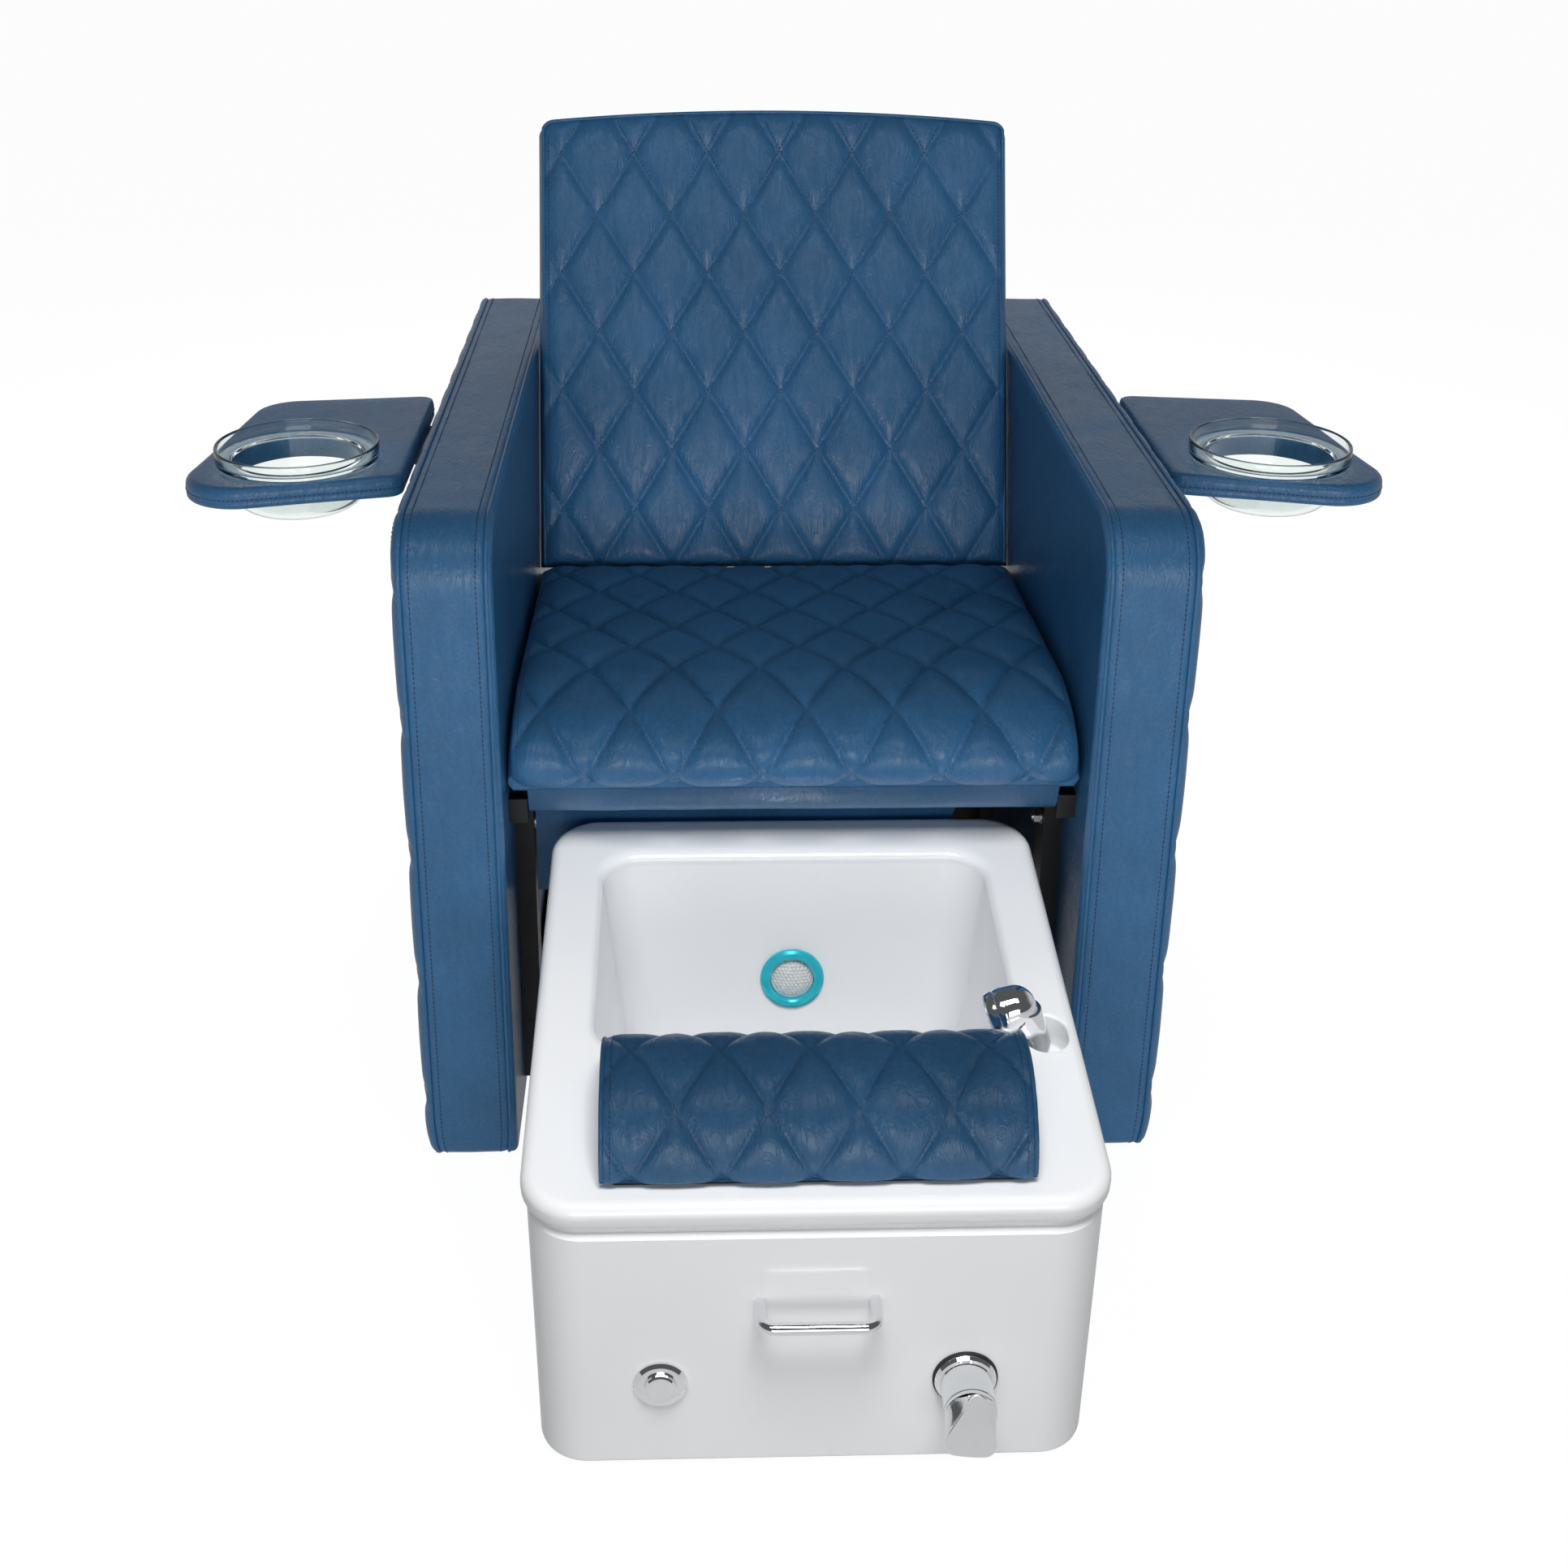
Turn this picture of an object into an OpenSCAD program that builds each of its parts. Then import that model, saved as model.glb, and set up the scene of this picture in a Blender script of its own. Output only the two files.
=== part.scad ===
// Pedicure spa chair: upholstered arm boxes bolted to a steel frame, a reclining
// back, two swing-out trays with glass bowls, and a moulded foot tub that rolls
// out from under the seat. Millimetres, +Z up, the front faces -Y, and the chair
// is symmetric about X = 0 apart from the fittings of the tub. The origin lies
// on the floor under the middle of the whole chair.

/* [Arms] */
// Width over both arms
chair_w = 820; // [740:5:900]
// Thickness of one arm box
arm_t = 106; // [90:1:130]
// Height of the arms above the floor
arm_h = 750; // [690:5:820]
// Depth of the arms, front to rear
arm_d = 960; // [880:5:1100]
// Radius of the front top corner
arm_r = 65; // [30:1:90]
// Radius of the rear top corner
arm_rear_r = 25; // [15:1:60]
// Radius of the two bottom corners
arm_foot_r = 12; // [8:1:20]
// Thickness of the plain inner panel
inner_panel_t = 8; // [6:1:12]
// Thickness of the quilted outer panel, pillows included
outer_panel_t = 14; // [11:1:18]
// Thickness of the strap that wraps the edge of an arm
strap_t = 8; // [5:1:12]
// Thickness of the plywood inside an arm
ply_t = 12; // [9:1:18]
// Height of the glides under an arm
glide_h = 6; // [4:1:12]
// Radius of a glide
glide_r = 15; // [10:1:20]

/* [Quilting] */
// Width of one stitched diamond
diamond_w = 93.5; // [60:0.5:120]
// Height of one stitched diamond on the back and the arms
diamond_h = 152; // [100:1:200]
// Height of one stitched diamond on the seat
seat_diamond_h = 132; // [100:1:200]
// Width of one stitched diamond on the footrest
rest_diamond_w = 80; // [60:0.5:120]
// Height of a pillow above its seams
pillow = 7; // [3:0.5:8]

/* [Frame] */
// Width of a frame tube across the chair
tube_w = 20; // [16:1:25]
// Depth of an upright along the chair
upright_d = 40; // [30:1:50]
// Height of a rail
rail_h = 28; // [24:1:32]
// Wall of the frame tubes
tube_wall = 2; // [1.5:0.5:3]
// Height of the lower rails above the floor
rail_z = 22; // [16:1:40]
// Front face of the front uprights, behind the front of the arms
upright_front = 125; // [100:1:150]
// Rear face of the rear uprights, behind the front of the arms
upright_rear = 595; // [580:1:660]
// Radius of an arm bolt
bolt_r = 4; // [3:0.5:5]

/* [Seat] */
// Gap between the seat cushion and an arm
seat_side_gap = 7; // [3:0.5:20]
// Front of the seat cushion, behind the front of the arms
seat_front = 20; // [0:1:40]
// Height of the seat's crest near the front
seat_h = 534; // [510:1:560]
// Fall of the seat towards the rear, degrees
seat_fall = 4; // [2:0.5:6]
// Height of the top of the seat board
board_z = 440; // [430:1:450]
// Thickness of the seat board
board_t = 18; // [12:1:20]

/* [Back] */
// Lean of the back from the vertical, degrees
back_lean = 21.5; // [15:0.5:25]
// Length of the back cushion along its side edges
back_len = 572; // [480:1:640]
// Rise of the crowned top edge above its corners
back_crown = 14; // [0:1:30]
// Radius of the back's two top corners
back_corner_r = 14; // [6:1:30]
// Thickness of the back cushion
back_t = 70; // [55:1:80]
// Thickness of the panel behind the back board
back_shell_t = 14; // [10:1:20]
// How far the back reclines, degrees
recline = 25; // [0:1:25]

/* [Trays] */
// Height of a tray above the floor
tray_h = 727; // [700:1:735]
// Length of a tray along the arm
tray_l = 350; // [320:5:400]
// Width of a tray away from the arm
tray_w = 235; // [225:5:260]
// Thickness of a tray
tray_t = 24; // [18:1:28]
// Front edge of a tray, behind the front of the arms
tray_front = 188; // [150:1:230]
// Gap between a tray and its arm
tray_gap = 12; // [8:1:16]
// Distance of the tray's swing pin from the arm
tray_pin_out = 112; // [108:1:125]
// Distance of the tray's swing pin from the tray's rear edge
tray_pin_in = 54; // [34:1:60]
// Radius of the rim of a glass bowl
bowl_r = 90; // [75:1:94]
// Height of the bowl's rim band above the tray
bowl_rim_h = 18; // [14:1:40]
// Depth of the bowl below the top of the tray
bowl_depth = 54; // [34:1:60]

/* [Tub] */
// Width of the tub over its rim
tub_w = 522; // [480:2:530]
// How far the tub's front face stands ahead of the arms
tub_reach = 436; // [400:1:460]
// Length of the tub's rim on the plan
tub_l = 562; // [520:2:566]
// Height of the rim at the front
tub_front_h = 294; // [280:1:305]
// Height of the rim at the rear
tub_rear_h = 365; // [340:1:375]
// Wall of the moulding
tub_wall = 6; // [4:0.5:8]
// Gap between the tub and the floor
tub_gap = 8; // [6:1:12]
// How far the tub rolls in under the seat
tub_travel = 420; // [300:5:420]
// Width of the basin's opening
basin_w = 406; // [380:2:410]
// Front edge of the basin behind the rim's front edge
basin_front = 200; // [196:1:215]
// Rear edge of the basin ahead of the rim's rear edge
basin_rear = 70; // [64:1:90]
// Height of the basin's floor above the ground
basin_floor = 110; // [90:1:130]
// Radius of a caster wheel
wheel_r = 14; // [12:1:15]
// Length of the footrest
rest_l = 380; // [340:2:400]
// Radius of the half-round footrest
rest_r = 80; // [70:1:82]

/* [Fittings] */
// Height of the mixer and the push button above the floor
fitting_z = 100; // [90:1:115]
// Distance of the mixer from the middle
mixer_x = 134; // [110:1:160]
// Distance of the push button from the middle
button_x = 139; // [110:1:160]
// Height of the pull handle
handle_z = 190; // [170:1:220]
// Centre distance of the handle's legs
handle_cc = 101; // [80:1:128]
// Radius of the handle's bar
handle_r = 5.5; // [4:0.5:7]
// Radius of the mixer's wall flange
flange_r = 27.8; // [25:0.2:32]
// Radius of the mixer's body
mixer_r = 23.3; // [20:0.1:25]
// How far the mixer lever's tip stands ahead of the tub
lever_out = 64; // [58:1:80]
// Width of the lever's paddle
lever_w = 47; // [40:1:56]
// Travel of the push button
button_travel = 3; // [2:0.5:4]
// Radius of the jet's ring
jet_r = 35; // [30:1:38]
// Distance of the hand sprayer from the middle
sprayer_x = 228; // [225:0.5:230]

/* [Hidden] */

leather = [0.10, 0.24, 0.42];
leather_dark = [0.07, 0.18, 0.33];
steel_black = [0.08, 0.08, 0.09];
steel = [0.72, 0.73, 0.75];
chrome = [0.85, 0.86, 0.88];
white = [0.95, 0.95, 0.96];
plywood = [0.78, 0.62, 0.42];
rubber = [0.06, 0.06, 0.06];
clear_glass = [0.85, 0.93, 0.95, 0.45];
aqua = [0.10, 0.66, 0.76];

$fn = 48;
hull_fn = 32;          // facets of the circles inside a hull
run = 0.05;            // radial clearance of a turning or sliding fit
seat_gap = 0.3;        // gap between soft pieces and what carries them
hole_gap = 0.2;        // radial clearance of a bolt in its hole

chair_len = arm_d + tub_reach + lever_out;
front_y = -chair_len / 2 + tub_reach + lever_out;

inner_x = chair_w / 2 - arm_t;                 // inner face of an arm
panel_x = inner_x + inner_panel_t;             // inner face of the carcass
strap_x = chair_w / 2 - outer_panel_t;         // outer face of the carcass
tube_x = inner_x - tube_w;                     // inner face of the frame
seat_w = 2 * (inner_x - seat_side_gap);
rail_top = board_z - board_t;
top_rail_z = rail_top - rail_h;
cross_d = 30;                                  // depth of a cross rail
seat_rail_front = seat_front + 40;
upright_mid_front = upright_front + upright_d / 2;
upright_mid_rear = upright_rear - upright_d / 2;
bolt_z = [rail_z + 68, rail_top - 72];
bolt_y = [upright_mid_front, upright_mid_rear];
bolt_head_t = 5;
washer_t = 1.6;
nut_t = 6.5;
nut_r = 7.5;
glide_in = 25;                                 // a glide's centre inside the arm's edge
glide_y = 60;

back_y = upright_mid_rear - 35;                // seat line of the back's front plane
back_z = board_z + 68;
back_edge = -10;                               // lower edge of the back, along its lean
back_w = seat_w;
back_gap = 5;                                  // gap between the back and the seat
pin_dy = upright_mid_rear - back_y;
pin_dz = -53;
pin_n = pin_dy * cos(back_lean) - pin_dz * sin(back_lean);
pin_s = pin_dy * sin(back_lean) + pin_dz * cos(back_lean);
pin_z = back_z + pin_dz;
pin_r = 6;
upright_top = pin_z + 12;
hinge_t = 6;
hinge_gap = 2;
hinge_x = tube_x - hinge_gap - hinge_t;        // inner face of a hinge bar
lug_r = 18;

tray_x0 = chair_w / 2 + tray_gap;
tray_rear = tray_front + tray_l;
tray_z0 = tray_h - tray_t;
tray_pin_x = chair_w / 2 + tray_pin_out;
tray_pin_y = tray_rear - tray_pin_in;
pivot_plate_t = 4;
bracket_t = 9;
bracket_gap = 0.3;
bracket_w = 36;
bracket_top = tray_z0 - pivot_plate_t - bracket_gap;
bowl_x = tray_x0 + tray_w / 2 + 5.5;
bowl_y = tray_front + 106;
bowl_wall = 4;
bowl_neck_r = bowl_r - 15;                     // outer radius of the bowl below its band

rim_y = -tub_reach - 4;                        // front edge of the rim
rim_angle = atan((tub_rear_h - tub_front_h) / tub_l);
rim_l = tub_l / cos(rim_angle);
tub_face = -tub_reach;
tub_body_w = tub_w - 10;                       // body just under the rim band
tub_foot_w = tub_w - 20;
tub_foot_rear = rim_y + tub_l - 18;
deck_t = 8;
band_h = 26;
flange_z = 34;                                 // inner flange that carries the chassis
flange_t = 6;
flange_in = 16;
chassis_t = 10;
wheel_x = 185;
wheel_y = [rim_y + 70, rim_y + tub_l - 75];
wheel_w = 12;
axle_r = 3;
fork_t = 2.5;
fork_gap = 1;
rest_y = 101;                                  // footrest's middle, along the deck
rest_base_t = 8;
skin_y = tub_face + tub_wall;                  // inner side of the front wall

basin_floor_w = basin_w - 50;
basin_floor_y = [rim_y + basin_front + 26, rim_y + tub_l - basin_rear - 28];
basin_knee = 26;                               // height of the floor's rounded edge
basin_top_y = rim_y + tub_l - basin_rear;
basin_top_z = tub_front_h + (tub_l - basin_rear) * tan(rim_angle);
jet_z = 212;
jet_lean = atan((basin_top_y - basin_floor_y[1]) / (basin_top_z - basin_floor - basin_knee));
jet_y = basin_floor_y[1] + (jet_z - basin_floor - basin_knee) * tan(jet_lean);
jet_neck_r = 25;
drain_y = (basin_floor_y[0] + basin_floor_y[1]) / 2;
drain_r = 30;
tail_r = 19;

recess_r = 21.5;
recess_stretch = 3.5;
sprayer_y = rim_y + 212;
recess_z = tub_front_h + 212 * tan(rim_angle) - 30;
socket_x = sprayer_x - 7;                      // the sprayer's stem stands left in its recess
socket_r = 13;
stem_r = 10;
stem_l = 12;                                   // how deep the sprayer's stem stands in its socket
head_drop = 21;                                // fall of the sprayer's head from the horizontal

// ---------------------------------------------------------------- helpers

// Moves a piece drawn from the front of the arms to the chair's own frame
module in_chair() {
    translate([0, front_y, 0]) children();
}

module box(low, high, shrink = 0) {
    translate(low + [shrink, shrink, shrink])
        cube(high - low - 2 * [shrink, shrink, shrink]);
}

// A flat rectangle with round corners, centred
module rounded_rect(w, l, r) {
    square([w - 2 * r, l], center = true);
    square([w, l - 2 * r], center = true);
    for (x = [-1, 1], y = [-1, 1]) translate([x * (w / 2 - r), y * (l / 2 - r)]) circle(r);
}

// A cylinder along +X
module rod_x(r, len) {
    rotate([0, 90, 0]) cylinder(r = r, h = len);
}

// A cylinder that runs towards the front, along -Y
module rod_front(r, len) {
    rotate([90, 0, 0]) cylinder(r = r, h = len);
}

// What is left of a square corner outside a round one
module corner_cut(r) {
    difference() {
        translate([-1, -1]) square(r + 1);
        translate([r, r]) circle(r);
    }
}

// Height of a quilt's pillows, 0 along the seams and 1 in the middle of a diamond.
// size is a diamond's width and height, and two seams cross where u and v are 0.
function quilt(u, v, size) =
    let (a = u / size.x + v / size.y, b = u / size.x - v / size.y)
    pow(abs(sin(180 * a) * sin(180 * b)), 0.6);

// Places of a quilt's points across and along it, so that the edges between them
// lie on the seams: four columns and eight rows to a diamond, with each odd row
// shifted by half a column. Narrow strips along the borders round them, and
// a row holds its place and whether it is odd.
strip = 9;
inner_strip = 15;
function quilt_columns(w, crossing, size, odd) =
    let (step = size.x / 4, half = w / 2 - inner_strip,
         first = ceil((-half - crossing) / step), last = floor((half - crossing) / step))
    concat([-w / 2, strip - w / 2],
        [for (k = [first:last]) min(crossing + (k + odd / 2) * step, half)],
        [w / 2 - strip, w / 2]);
function quilt_rows(low, high, crossing, size, top_strip = 0) =
    let (step = size.y / 8, first = ceil((low - crossing) / step + 0.4),
         last = floor((high - top_strip - crossing) / step - 0.4))
    concat([[low, 0]],
        [for (k = [first:last]) [crossing + k * step, abs(k) % 2]],
        top_strip > 0 ? [[high - top_strip, 0]] : [], [[high, 0]]);

// Smooth fall to 0 within reach of an edge, 1 further in
function edge_fall(d, reach) = d >= reach ? 1 : d <= 0 ? 0 : sqrt(1 - pow(1 - d / reach, 2));

function mix(a, b, t) = a + (b - a) * t;

// Indices around the border of a grid
function border(rows, cols) = concat(
    [for (j = [0:cols - 1]) j],
    [for (i = [1:rows - 1]) i * cols + cols - 1],
    [for (j = [cols - 2:-1:0]) (rows - 1) * cols + j],
    [for (i = [rows - 2:-1:1]) i * cols]);

// A closed pad: a front grid of points and a flat rear that its border falls to.
// rear holds the rear point of each border point, and middle is the rear's middle.
// Without rear points the border itself lies on the flat rear. rises(i, j) says
// which diagonal splits a cell of the grid, apart from the corner cells, whose
// diagonal starts in the corner, and flip turns the faces of a grid whose rows
// run the other way round.
module pad(front, rear, middle, rises, flip = false) {
    rows = len(front);
    cols = len(front[0]);
    ring = border(rows, cols);
    n = len(ring);
    base = rows * cols;
    walls = len(rear) > 0;
    function in_corner(i, j) = (i == 0 || i == rows - 2) && (j == 0 || j == cols - 2);
    function up(i, j) = in_corner(i, j) ? (i == 0) == (j == 0) : rises(i, j);
    points = concat([for (row = front) each row], rear, [middle]);
    centre = len(points) - 1;
    faces = concat(
        [for (i = [0:rows - 2], j = [0:cols - 2])
            let (a = i * cols + j, b = a + 1, c = a + cols, d = c + 1)
            each (up(i, j) ? [[a, c, d], [a, d, b]] : [[a, c, b], [b, c, d]])],
        [for (k = [0:n - 1]) let (a = k, b = (k + 1) % n) each (walls
            ? [[ring[a], ring[b], base + a], [ring[b], base + b, base + a], [base + a, base + b, centre]]
            : [[ring[a], ring[b], centre]])]);
    polyhedron(points, [for (f = faces) flip ? [f[2], f[1], f[0]] : f]);
}

// ---------------------------------------------------------------- frame

module frame_bars(shrink) {
    for (s = [0, 1]) mirror([s, 0, 0]) {
        box([tube_x, upright_front, rail_z],
            [inner_x, upright_front + upright_d, rail_top], shrink);
        box([tube_x, upright_rear - upright_d, rail_z],
            [inner_x, upright_rear, upright_top], shrink);
        box([tube_x, seat_rail_front, top_rail_z], [inner_x, upright_rear, rail_top], shrink);
        box([tube_x, upright_front, rail_z], [inner_x, upright_rear, rail_z + rail_h], shrink);
    }
    for (y = [upright_front, upright_rear - cross_d])
        box([-inner_x, y, top_rail_z], [inner_x, y + cross_d, rail_top], shrink);
    box([-inner_x, upright_rear - cross_d, rail_z],
        [inner_x, upright_rear, rail_z + rail_h], shrink);
}

// Runs its children at each bolt of both arms, +X pointing out of the chair
module at_bolts() {
    for (s = [0, 1], y = bolt_y, z = bolt_z)
        mirror([s, 0, 0]) translate([tube_x, y, z]) children();
}

module frame() {
    color(steel_black) in_chair() difference() {
        frame_bars(0);
        frame_bars(tube_wall);
        at_bolts() translate([-1, 0, 0]) rod_x(bolt_r + hole_gap, tube_w + 2);
        for (s = [0, 1]) mirror([s, 0, 0])
            translate([tube_x - 1, upright_mid_rear, pin_z]) rod_x(pin_r + run, tube_w + 2);
    }
}

// Black board that closes the frame behind the tub's bay
module rear_cover() {
    cover_t = 6;
    color(steel_black) in_chair()
        box([-inner_x + 2, upright_rear, rail_z + 2],
            [inner_x - 2, upright_rear + cover_t, pin_z - lug_r - 2]);
}

// ---------------------------------------------------------------- arms

// Side outline of an arm in Y and Z, drawn in by inset
module arm_outline(inset = 0) {
    y1 = arm_d - inset;
    z0 = glide_h + inset;
    z1 = arm_h - inset;
    foot_r = max(arm_foot_r - inset, 2);
    difference() {
        translate([inset, z0]) square([y1 - inset, z1 - z0]);
        translate([inset, z1]) mirror([0, 1]) corner_cut(max(arm_r - inset, 2));
        translate([y1, z1]) rotate(180) corner_cut(max(arm_rear_r - inset, 2));
        translate([inset, z0]) corner_cut(foot_r);
        translate([y1, z0]) mirror([1, 0]) corner_cut(foot_r);
    }
}

// Extrudes a Y, Z outline from x0 to x1
module along_x(x0, x1) {
    translate([x0, 0, 0]) rotate([90, 0, 90]) linear_extrude(x1 - x0) children();
}

module arm_bolt_holes(x0, x1) {
    for (y = bolt_y, z = bolt_z) translate([x0, y, z]) rod_x(bolt_r + hole_gap, x1 - x0);
}

module arm_carcass() {
    rib_d = 18;
    difference() {
        union() {
            along_x(panel_x, panel_x + ply_t) arm_outline(strap_t);
            along_x(panel_x, strap_x) difference() {
                arm_outline(strap_t);
                arm_outline(strap_t + rib_d);
            }
            for (y = [arm_d / 3, 2 * arm_d / 3])
                box([panel_x, y, glide_h + strap_t], [strap_x, y + rib_d, arm_h - strap_t]);
        }
        arm_bolt_holes(panel_x - 1, panel_x + ply_t + 1);
    }
}

module arm_strap() {
    along_x(panel_x, strap_x) difference() {
        arm_outline(0);
        arm_outline(strap_t);
    }
}

module arm_inner_panel() {
    lip = 5;
    difference() {
        hull() {
            along_x(inner_x, panel_x) arm_outline(lip);
            along_x(inner_x + lip - 2, panel_x) arm_outline(0);
        }
        arm_bolt_holes(inner_x - 1, panel_x + 1);
    }
}

// Y where the arm's outline starts and ends at height z
function arm_y0(z) = z < arm_h - arm_r ? 0
    : arm_r - sqrt(max(0, pow(arm_r, 2) - pow(z - arm_h + arm_r, 2)));
function arm_y1(z) = z < arm_h - arm_rear_r ? arm_d
    : arm_d - arm_rear_r + sqrt(max(0, pow(arm_rear_r, 2) - pow(z - arm_h + arm_rear_r, 2)));

module arm_outer_panel() {
    size = [diamond_w, diamond_h];
    cell = [diamond_w / 4, diamond_h / 4];
    reach = 22;
    seam = outer_panel_t - pillow - 1;
    low = glide_h;
    crossing = low + diamond_h / 2;
    // Places from start to end in steps of the quilt, with the seams' crossings on them
    function places(start, end, origin, step) =
        let (first = ceil((start - origin) / step + 0.4), last = floor((end - origin) / step - 0.4))
        concat([[start, 0]], [for (k = [first:last]) [origin + k * step, k]], [[end, last + 1]]);
    ys = places(0, arm_d, arm_d / 2, cell.x);
    zs = places(low, arm_h - arm_r, crossing, cell.y);
    top = [for (a = [40, 80]) [arm_h - arm_r + arm_r * sin(a), len(zs)]];
    heights = concat(zs, top);
    function y_at(y, z) = mix(arm_y0(z), arm_y1(z), y / arm_d);
    function depth(y, z) =
        let (d = min(y - arm_y0(z), arm_y1(z) - y, z - low, arm_h - z))
        seam * edge_fall(d, reach)
            + pillow * quilt(y - arm_d / 2, z - crossing, size) * edge_fall(d, 2 * reach);
    front = [for (h = heights) [for (p = ys)
        let (z = h[0], y = y_at(p[0], z)) [strap_x + depth(y, z), y, z]]];
    difference() {
        pad(front, [], [strap_x, arm_d / 2, arm_h / 2],
            function(i, j) (heights[i][1] - ys[j][1]) % 2 == 0);
        tray_bracket_seat();
    }
}

module arm_left(part_no) {
    mirror([1, 0, 0]) arm_right(part_no);
}

module arm_right(part_no) {
    if (part_no == 0) arm_carcass();
    if (part_no == 1) arm_strap();
    if (part_no == 2) arm_outer_panel();
    if (part_no == 3) arm_inner_panel();
}

module arm_left_carcass() { color(plywood) in_chair() arm_left(0); }
module arm_left_strap() { color(leather) in_chair() arm_left(1); }
module arm_left_outer_panel() { color(leather) in_chair() arm_left(2); }
module arm_left_inner_panel() { color(leather) in_chair() arm_left(3); }
module arm_right_carcass() { color(plywood) in_chair() arm_right(0); }
module arm_right_strap() { color(leather) in_chair() arm_right(1); }
module arm_right_outer_panel() { color(leather) in_chair() arm_right(2); }
module arm_right_inner_panel() { color(leather) in_chair() arm_right(3); }

// Carriage bolts: round heads on the plywood, nuts on the inside of the frame
module arm_bolts() {
    tail = washer_t + nut_t + 2.5;
    color(steel) in_chair() at_bolts() {
        translate([-tail, 0, 0]) rod_x(bolt_r, tail + tube_w + inner_panel_t + ply_t + 1);
        translate([tube_w + inner_panel_t + ply_t, 0, 0]) rod_x(2.3 * bolt_r, bolt_head_t);
    }
}

module arm_washers() {
    color(steel) in_chair() at_bolts() difference() {
        translate([-washer_t, 0, 0]) rod_x(nut_r + 1, washer_t);
        translate([-washer_t - 1, 0, 0]) rod_x(bolt_r + run, washer_t + 2);
    }
}

module arm_nuts() {
    color(steel) in_chair() at_bolts() difference() {
        translate([-washer_t - nut_t, 0, 0]) rotate([0, 90, 0]) cylinder(r = nut_r, h = nut_t, $fn = 6);
        translate([-washer_t - nut_t - 1, 0, 0]) rod_x(bolt_r + run, nut_t + 2);
    }
}

module arm_glides() {
    color(rubber) in_chair() for (s = [0, 1], x = [inner_x + glide_in, chair_w / 2 - glide_in],
        y = [glide_y, arm_d - glide_y])
        mirror([s, 0, 0]) translate([x, y, 0]) cylinder(r = glide_r, h = glide_h);
}

// ---------------------------------------------------------------- seat

module seat_board() {
    front = seat_rail_front + 2;
    rear = upright_rear - upright_d - 4;
    color(plywood) in_chair() translate([0, (front + rear) / 2, rail_top])
        linear_extrude(board_t) rounded_rect(seat_w - 10, rear - front, 20);
}

// Outline of the seat's top from its rear edge over the nose to its lower front
// edge: a straight fall up to 1, a quarter ellipse over the nose up to 2 and one
// under it up to 3. A point holds Y, Z and the outward direction.
nose_y = seat_front + 122;
nose_z = board_z + 36;
seat_lip = 26;                         // how far the seat's lower edge lies behind its nose
function seat_rear_at(z) = back_y + (z - back_z) * tan(back_lean) - back_gap;
seat_rear_z = board_z + 58;
seat_rear_y = seat_rear_at(seat_rear_z);
function seat_point(t) =
    t <= 1 ?
        let (y = mix(seat_rear_y, nose_y, t), z = seat_h - (y - nose_y) * tan(seat_fall))
        [y, z, 0, 1]
    : t <= 2 ?
        let (a = 90 * (t - 1))
        [nose_y - (nose_y - seat_front) * sin(a), nose_z + (seat_h - nose_z) * cos(a),
         -sin(a), cos(a)]
    :   let (a = 90 * (t - 2))
        [seat_front + seat_lip * (1 - cos(a)), nose_z - (nose_z - board_z - 5) * sin(a),
         -cos(a), -sin(a)];
seat_steps = 20;                       // steps to each third of the outline, to measure it
function seat_step(k) =
    let (a = seat_point(k / seat_steps), b = seat_point((k + 1) / seat_steps)) norm([b.x - a.x, b.y - a.y]);
function seat_run(k, done = 0) = k == 0 ? done : seat_run(k - 1, done + seat_step(k - 1));
seat_table = [for (k = [0:3 * seat_steps]) [seat_run(k), k / seat_steps]];
seat_len = seat_run(3 * seat_steps);

module seat_cushion() {
    size = [diamond_w, seat_diamond_h];
    crossing_x = diamond_w / 2 + 12;
    // The last crossing before the nose. Beyond it the leather is stretched over the nose.
    taut = lookup(1, [for (k = seat_table) [k[1], k[0]]]) - 26;
    stretch = 1.43;
    side_drop = 14;
    rows = quilt_rows(-taut, (seat_len - taut) / stretch, 0, size);
    front = [for (r = rows)
        let (l = taut + r[0] * (r[0] > 0 ? stretch : 1), p = seat_point(lookup(l, seat_table)))
        [for (x = quilt_columns(seat_w, crossing_x, size, r[1]))
            let (side = edge_fall(seat_w / 2 - abs(x), 30),
                 ends = edge_fall(l, 20) * edge_fall(seat_len - l, 16),
                 puff = quilt(x - crossing_x, r[0], size) - 1,
                 h = pillow * puff * ends * side - side_drop * (1 - side) - 6 * (1 - ends))
            [x, p.x + h * p[2], p.y + h * p[3]]]];
    cols = len(front[0]);
    ring = border(len(rows), cols);
    flat = [for (row = front) each row];
    base_z = board_z + seat_gap;
    base_y = [seat_rear_at(base_z), seat_front + seat_lip];
    rear = [for (k = ring)
        [flat[k].x, mix(base_y[0], base_y[1], floor(k / cols) / (len(rows) - 1)), base_z]];
    color(leather) in_chair()
        pad(front, rear, [0, (base_y[0] + base_y[1]) / 2, base_z], function(i, j) rows[i][1] == 1, true);
}

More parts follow.
